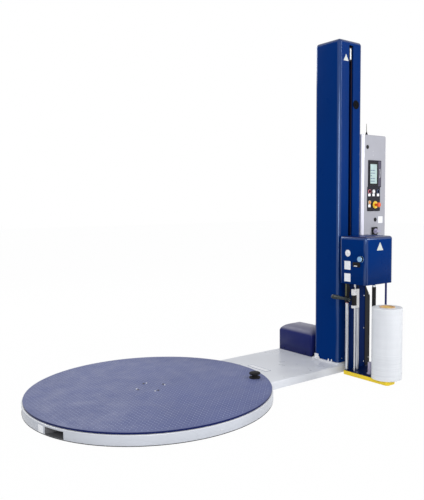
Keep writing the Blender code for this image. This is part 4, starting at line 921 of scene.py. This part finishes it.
def cabinet_case():
    """Painted highlight on the rounded upright beside the mast, as a pale strip over the bend; antenna on top and
    cable glands below.
    """
    low, high = corners("control_cabinet")
    door_low = corners("cabinet_door")[0]
    radius = 0.024
    centre = (door_low.x - 0.001, door_low.y + radius)
    # Painted highlight: a thin pale band over the rounded upright stands in for the light it catches.
    highlight_band = band(centre, radius + 0.0009, radius + GAP, 202, 268, 12)
    piece("cabinet_edge_painted_highlight", prism(highlight_band, low.z + 0.002, high.z - 0.002), "edge", "base")

    at = (1.853, door_low.y + 0.055)
    cone = [(0, 0), (0.012, 0), (0.011, 0.006), (0.0055, 0.024), (0.003, 0.030), (0, 0.030)]
    piece("antenna_base", lathe(cone, 24, at, base=high.z), "black", "base")
    whip = [(0, 0.028), (0.0026, 0.028), (0.0016, 0.088), (0.0016, 0.094), (0, 0.095)]
    piece("antenna_rod", lathe(whip, 16, at, base=high.z), "olive", "base")
    gland = [(0, 0), (0.014, 0), (0.014, -0.008), (0.011, -0.010), (0.010, -0.023), (0.006, -0.025), (0.006, -0.019),
             (0, -0.019)]
    glands = [lathe(gland, 32, (x, middle("control_cabinet").y), base=low.z - 0.001) for x in (1.80, 1.86, 1.92)]
    piece("cabinet_glands", glands, "black", "base")


def panel():
    """Lower plate with the buttons and, above it, the display part: one stepped plate."""
    low, high = corners("control_panel")
    face = low.y
    r = 0.005
    outline = arc((low.x + r, low.z + r), r, 180, 270, 4) + arc((PANEL_NARROW - r, low.z + r), r, 270, 360, 4)
    outline += [(PANEL_NARROW, PANEL_SPLIT), (high.x - 0.002, PANEL_SPLIT), (high.x, PANEL_SPLIT + 0.002)]
    outline += arc((high.x - r, high.z - r), r, 0, 90, 4) + arc((PANEL_WIDE + r, high.z - r), r, 90, 180, 4)
    outline += [(PANEL_WIDE, PANEL_SPLIT + 0.0005), (low.x, PANEL_SPLIT)]
    plate = piece("panel_face", prism(outline, face, high.y, "Y"), "gloss_black", "door",
                  ["control_panel"])
    glass_low, glass_high = corners("display_screen")
    room = 0.0004
    recess = block((glass_low.x - room, face - 0.01, glass_low.z - room),
                   (glass_high.x + room, glass_high.y + 0.0006, glass_high.z + room))
    cut(plate, recess, "display_recess")

    outer = rounded_rectangle(*grown(glass_low, glass_high, 0.013, 0.016), 0.008, 5)
    inner = rounded_rectangle(*grown(glass_low, glass_high, 0.001, 0.001), 0.003, 5)
    bm = bmesh.new()
    back, front = face - GAP, face - 0.003
    rims = ((outer, back), (outer, front), (inner, front), (inner, back))
    rows = [[bm.verts.new((a, y, b)) for a, b in rim] for rim, y in rims]
    skin(bm, [*rows, rows[0]])
    piece("display_frame", bm, "black", "door")
    outline = rounded_rectangle(*grown(glass_low, glass_high, 0, 0), 0.002)
    glass = rounded_prism(outline, glass_low.y, glass_high.y, "Y", 0.0003, 1)
    piece("display_window", glass, "screen", "door", ["display_screen"])
    dashes = []
    for i in range(DISPLAY_ROWS):
        z = glass_low.z + 0.016 + ROW_PITCH * i
        for first, last in ROW_DASHES:
            if i != 2 or first < 0.02:
                dashes.append(block((glass_low.x + first, glass_low.y - 0.0002, z),
                                    (glass_low.x + last, glass_low.y - GAP, z + ROW_HEIGHT)))
    piece("display_rows", dashes, "slate", "door")
    flat("panel_side_field", (glass_high.x + 0.0145, PANEL_SPLIT + 0.008), (high.x - 0.004, high.z - 0.006), 0.006,
         face - 0.0005, face - GAP, "Y", "panel_side", "door", steps=4)
    bow = band((glass_high.x - 0.110, BOW_HEIGHT), 0.150, 0.1465, -14, 14, 10)
    piece("panel_curved_trim", prism(bow, face - 0.0012, face - 0.0005, "Y"), "patch", "door")


def push_buttons():
    """Caps with their collars and blank tags; the finishes are those of the cap and the collar."""
    face = corners("control_panel")[0].y
    looks = {"start": ("dark", "rose"), "stop": ("white", "white"), "reset": ("dark", "slate"),
             "cycle": ("amber", "beige")}
    for kind, (cap_colour, collar_colour) in looks.items():
        name = f"{kind}_button"
        low, high = corners(name)
        x, z = middle(name).xz
        r = half_width(name)
        cap = lathe([(0, high.y), (r, high.y), (r, low.y + 0.0015), (r * 0.9, low.y + 0.0002), (r * 0.5, low.y),
                     (0, low.y)], 40, (x, z), "Y")
        piece(f"{name}_cap", cap, cap_colour, name, [name])
        collar = [(r + 0.0038, -GAP), (r + 0.0038, -0.0035), (r + 0.0028, -0.0050), (r + 0.0008, -0.0050),
                  (r + 0.0008, -GAP)]
        piece(f"{name}_collar", lathe(collar, 40, (x, z), "Y", face), collar_colour, "door")
        flat(f"{name}_blank_tag", (x - 0.0145, z - 0.0385), (x + 0.0145, z - 0.0168), 0.002,
             face - 0.0008, face - GAP, "Y", "patch", "door")


def emergency_stop():
    low, high = corners("emergency_stop")
    at = middle("emergency_stop").xz
    r, stem, wide = half_width("emergency_stop"), 0.0098, 0.030
    length = high.y - low.y
    profile = [(0, length), (stem, length), (stem, 0.019), (r * 0.93, 0.0175), (r, 0.0145), (r, 0.009),
               (r * 0.95, 0.005), (r * 0.8, 0.002), (r * 0.5, 0.0004), (0, 0)]
    piece("stop_mushroom", lathe(profile, 48, at, "Y", low.y), "red", "emergency_stop",
          ["emergency_stop"])
    collar = [(wide, -GAP), (wide, -0.003), (wide - 0.003, -0.005), (0.0115, -0.005), (0.0115, -GAP)]
    piece("stop_collar", lathe(collar, 48, at, "Y", corners("control_panel")[0].y), "signal_yellow", "door")


cabinet()
cabinet_case()
panel()
push_buttons()
emergency_stop()


# Film carriage
DISC_AT = (-0.496, 0.944)  # Y and Z on the hood's outer face
KNOB_RIDGES = 72
RUBBER_END = 0.690  # top of the rubber roller's covering
LAYERS, WAIST_ROWS = 14, 42
LEVER_LENGTH, LEVER_WIDTH, LEVER_RISE = 0.190, 0.017, 13.0  # the rise is in degrees
LEVER_RIBS, RIB_PITCH = 12, 0.0072


def carriage_hood():
    low, high = corners("carriage_hood")
    shell = piece("hood_shell", hood_mesh(low, high, 0.022, 8), "blue", "carriage", ["carriage_hood"],
                  closed=False)
    gloss_bends(shell)
    thicken(shell, 0.0025)
    x = low.x
    disc = [(0, -0.0002), (0.0255, -0.0002), (0.0255, -0.0012), (0.0245, -0.0018), (0, -0.0018)]
    piece("hood_round_disc", lathe(disc, 48, DISC_AT, "X", x), "patch", "carriage")
    steel("hood_disc_hub", [rod(0.007, x - 0.0032, x - 0.0019, DISC_AT, "X", 24, 0.0004)], "carriage")
    for name, z0, z1 in (("upper", 0.820, 0.884), ("lower", 0.729, 0.791)):
        flat(f"hood_{name}_blank_sticker", (-0.523, z0), (-0.463, z1), 0.003, x - 0.0006, x - GAP, "X", "patch",
             "carriage")
    blank_triangle("hood_blank_triangle", (1.545, 1.620, 0.966, 0.062), low.y, "carriage")
    latch = rounded_rectangle((-0.618, 0.844), (-0.548, 0.880), 0.006, 5)
    piece("hood_latch_body", rounded_prism(latch, x - 0.007, x - 0.0002, "X", 0.0015), "black", "carriage")
    flat("hood_latch_line", (-0.592, 0.850), (-0.562, 0.856), 0.001, x - 0.0078, x - 0.0071, "X", "patch", "carriage",
         steps=2)
    places = [(high.x, y, z) for z in (low.z + 0.02, high.z - 0.05) for y in (low.y + 0.03, high.y - 0.03)]
    steel("hood_screws", socket_screws(places, RIGHT, 0.004), "carriage")
    knob(x)


def knob(face):
    """Ridged tension knob with a pale cap, on a scale ring."""
    low, high = corners("tension_knob")
    at = middle("tension_knob").yz
    back, front = high.x, low.x
    r = (high.y - low.y) / 2
    dial = ring(r + 0.0015, r - 0.005, face - 0.0016, face - 0.0002, at, "X")
    piece("knob_scale_ring", dial, "pale_blue", "carriage")
    ridged = []
    for i in range(KNOB_RIDGES):
        turn = 2 * pi * i / KNOB_RIDGES
        radius = r * (0.86 if i % 3 else 0.81)
        ridged.append((at[0] + radius * cos(turn), at[1] + radius * sin(turn)))
    neck = front + (back - front) * 0.45
    skirt = lathe([(0, 0), (r, 0), (r, -0.003), (r * 0.97, -0.004), (0, -0.004)], 48, at, "X", back)
    grip = rounded_prism(ridged, neck, back - 0.0042, "X", 0.0008)
    piece("knob_grip", [skirt, grip], "gloss_black", "tension_knob", ["tension_knob"])
    piece("knob_cap", rod(r * 0.92, front, neck - 0.0002, at, "X", 48, 0.002), "pale_blue", "tension_knob")


def film_roll():
    """The wound film with slightly uneven layers on its end faces and a faintly waisted side."""
    low, high = corners("film_roll")
    core_low, core_high = corners("film_core")
    at = middle("film_roll").xy
    radius, r = half_width("film_roll"), half_width("film_core")
    inner = r + 0.0003
    random.seed(7)
    profile = []
    for i in range(LAYERS + 1):
        profile.append((inner + (radius - 0.003 - inner) * i / LAYERS, low.z + 0.0004 + random.uniform(0, 0.0012)))
    profile += [(radius - 0.0012, low.z + 0.0012), (radius - 0.0003, low.z + 0.003)]
    for i in range(1, WAIST_ROWS):
        z = low.z + (high.z - low.z) * i / WAIST_ROWS
        profile.append((radius - 0.0002 - random.uniform(0, 0.0003), z))
    profile += [(radius - 0.0006, high.z - 0.006), (radius - 0.0022, high.z - 0.0024),
                (radius - 0.0045, high.z - 0.0009)]
    outer = radius - 0.006
    for i in range(LAYERS + 1):
        profile.append((outer - (outer - inner) * i / LAYERS, high.z - 0.0004 - random.uniform(0, 0.0014)))
    piece("film_winding", lathe(profile, 128, at), "film", "film_spool", ["film_roll"], sharp=60)

    bore = r - 0.014
    tube = lathe([(r, core_low.z), (r, core_high.z - 0.0006), (r - 0.0008, core_high.z), (bore + 0.0008, core_high.z),
                  (bore, core_high.z - 0.0006), (bore, core_low.z)], 96, at)
    piece("core_tube", tube, "card", "film_spool", ["film_core"])
    cap = [(0, 0), (bore - 0.0006, 0), (bore - 0.0006, 0.006), (bore - 0.006, 0.008), (0.014, 0.009), (0.012, 0.0085),
           (0, 0.0085)]
    piece("core_end_cap", lathe(cap, 64, at, base=core_high.z - 0.014), "signal_yellow", "film_spool")


def rollers():
    looks = {"idle_roller_1": ("aluminium", "roller_aluminium"), "idle_roller_2": ("aluminium", "roller_aluminium"),
             "rubber_roller": ("rubber", "black_rubber")}
    for name, (material, slot) in looks.items():
        low, high = corners(name)
        at, r = middle(name).xy, half_width(name)
        start = low.z + 0.0057
        end = high.z - 0.003 if material == "aluminium" else RUBBER_END
        stub = r * 0.45
        profile = [(0, low.z), (stub, low.z), (stub, start), (r * 0.9, start), (r, start + 0.0012), (r, end - 0.0012),
                   (r * 0.9, end), (stub, end), (stub, high.z), (0, high.z)]
        piece(f"{name}_tube", lathe(profile, 48, at), material, name, [name])
        caps = [ring(r * 0.8, stub + 0.0004, z, z + 0.0012, at, steps=32) for z in (end, start - 0.0012)]
        piece(f"{name}_end_caps", caps, "black", name)
    bearing = ring(0.0135, 0.0072, RUBBER_END + 0.0015, RUBBER_END + 0.014, middle("rubber_roller").xy)
    piece("rubber_roller_bearing", bearing, "aluminium", "carriage")
    tip = corners("idle_roller_1")[1].z
    washer = ring(0.0115, 0.006, tip - 0.0028, tip - 0.0006, middle("idle_roller_1").xy)
    piece("idle_roller_1_red_washer", washer, "rose", "carriage")


def bracket_parts():
    """Roller bracket: pale plate with a dark block between its ears and small fittings above."""
    low, high = corners("roller_bracket")
    x, y = middle("guide_rod").xy
    ear_low, ear_high = low.z + 0.020, low.z + 0.0987
    body = rounded_rectangle((low.x + 0.001, low.y + 0.001), (high.x - 0.0285, high.y - 0.001), 0.004, 4)
    filling = rounded_prism(body, ear_low + 0.001, ear_high - 0.001, "Z", 0.002)
    piece("bracket_rubber_block", filling, "rubber", "carriage")
    pins = [rod(0.006, low.y - 0.0035, low.y + 0.0008, (x + 0.004, z), "Y", 24)
            for z in (ear_low + 0.018, ear_high - 0.018)]
    piece("bracket_block_pins", pins, "brown", "carriage")
    bolts = hex_bolt((x, low.y, low.z + 0.010), FRONT, 0.005) + hex_bolt((x, low.y, ear_high + 0.026), FRONT, 0.005)
    steel("bracket_bolts", bolts, "carriage")
    foot = ear_high + 0.0452
    studs = [rod(0.0045, foot, foot + height, (x + aside, y), steps=20)
             for height, aside in ((0.020, -0.008), (0.026, 0.034))]
    piece("bracket_top_studs", studs, "black", "carriage")


def roller_head_parts():
    low, high = corners("roller_head")
    y = (low.y + high.y) / 2
    strip = block((low.x - 0.0018, y - 0.006, low.z + 0.052), (low.x - GAP, y + 0.006, high.z - 0.004), 0.0006)
    piece("roller_head_strip", strip, "olive", "carriage")
    pins = socket_screws([(low.x, y, low.z + 0.012), (low.x, y, low.z + 0.020)], LEFT, 0.0035)
    piece("roller_head_screws", pins, "brown", "carriage")
    dot = socket_screws([(low.x + 0.020, low.y, low.z + 0.010)], FRONT, 0.0035)
    piece("roller_head_dot", dot, "white", "carriage")


def lever_parts():
    """Tapered handle that rises towards its end, with ribs round its grip."""
    low, high = corners("brake_lever")
    hub_radius = 0.014
    hub_x, hub_y, hub_z = high.x - hub_radius, high.y, low.z + hub_radius
    hub = rod(hub_radius, hub_y - 0.024, hub_y, (hub_x, hub_z), "Y", 32, 0.0015)
    tip, wide = -LEVER_LENGTH, LEVER_WIDTH
    profile = [(0, tip), (wide * 0.5, tip), (wide * 0.8, tip + 0.003), (wide * 0.97, tip + 0.012)]
    for i in range(LEVER_RIBS):
        start = tip + 0.015 + RIB_PITCH * i
        radius = wide - 0.00040 * i
        profile += [(radius, start), (radius, start + 0.0052), (radius - 0.0008, start + 0.0058),
                    (radius - 0.0008, start + 0.0068)]
    profile += [(0.0112, -0.072), (0.0094, -0.030), (0.0080, -0.008), (0, -0.008)]
    handle = turned(lathe(profile, 32, axis="X"), Matrix.Rotation(radians(LEVER_RISE), 3, "Y"),
                    (hub_x, hub_y - 0.012, hub_z))
    piece("brake_lever_handle", [hub, handle], "lever", "brake_lever", ["brake_lever"])
    steel("brake_lever_cap", [rod(0.0065, hub_y - 0.0256, hub_y - 0.0241, (hub_x, hub_z), "Y", 24, 0.0005)],
          "brake_lever")


def carriage_frame():
    """Screws of the back plate and the side guard, and the spring housing on the tray."""
    plate_low = corners("back_plate")[0]
    guard_low, guard_high = corners("side_guard")
    places = [(guard_low.x - 0.012, plate_low.y, z) for z in (0.080, 0.345, 0.600)]
    places += [(guard_high.x - 0.014, guard_low.y, z) for z in (0.105, 0.608)]
    steel("back_plate_screws", socket_screws(places, FRONT, 0.0042), "carriage")
    housing = [(0, 0.0), (0.024, 0.0), (0.024, 0.006), (0.0175, 0.010), (0.0175, 0.085), (0.0150, 0.088), (0, 0.088)]
    base = corners("carriage_tray")[1].z + 0.0002
    piece("tray_spring_housing", lathe(housing, 40, (1.492, -0.662), base=base), "lilac", "carriage")


carriage_hood()
film_roll()
rollers()
carriage_frame()
bracket_parts()
roller_head_parts()
lever_parts()

bpy.context.scene.view_settings.view_transform = "Standard"
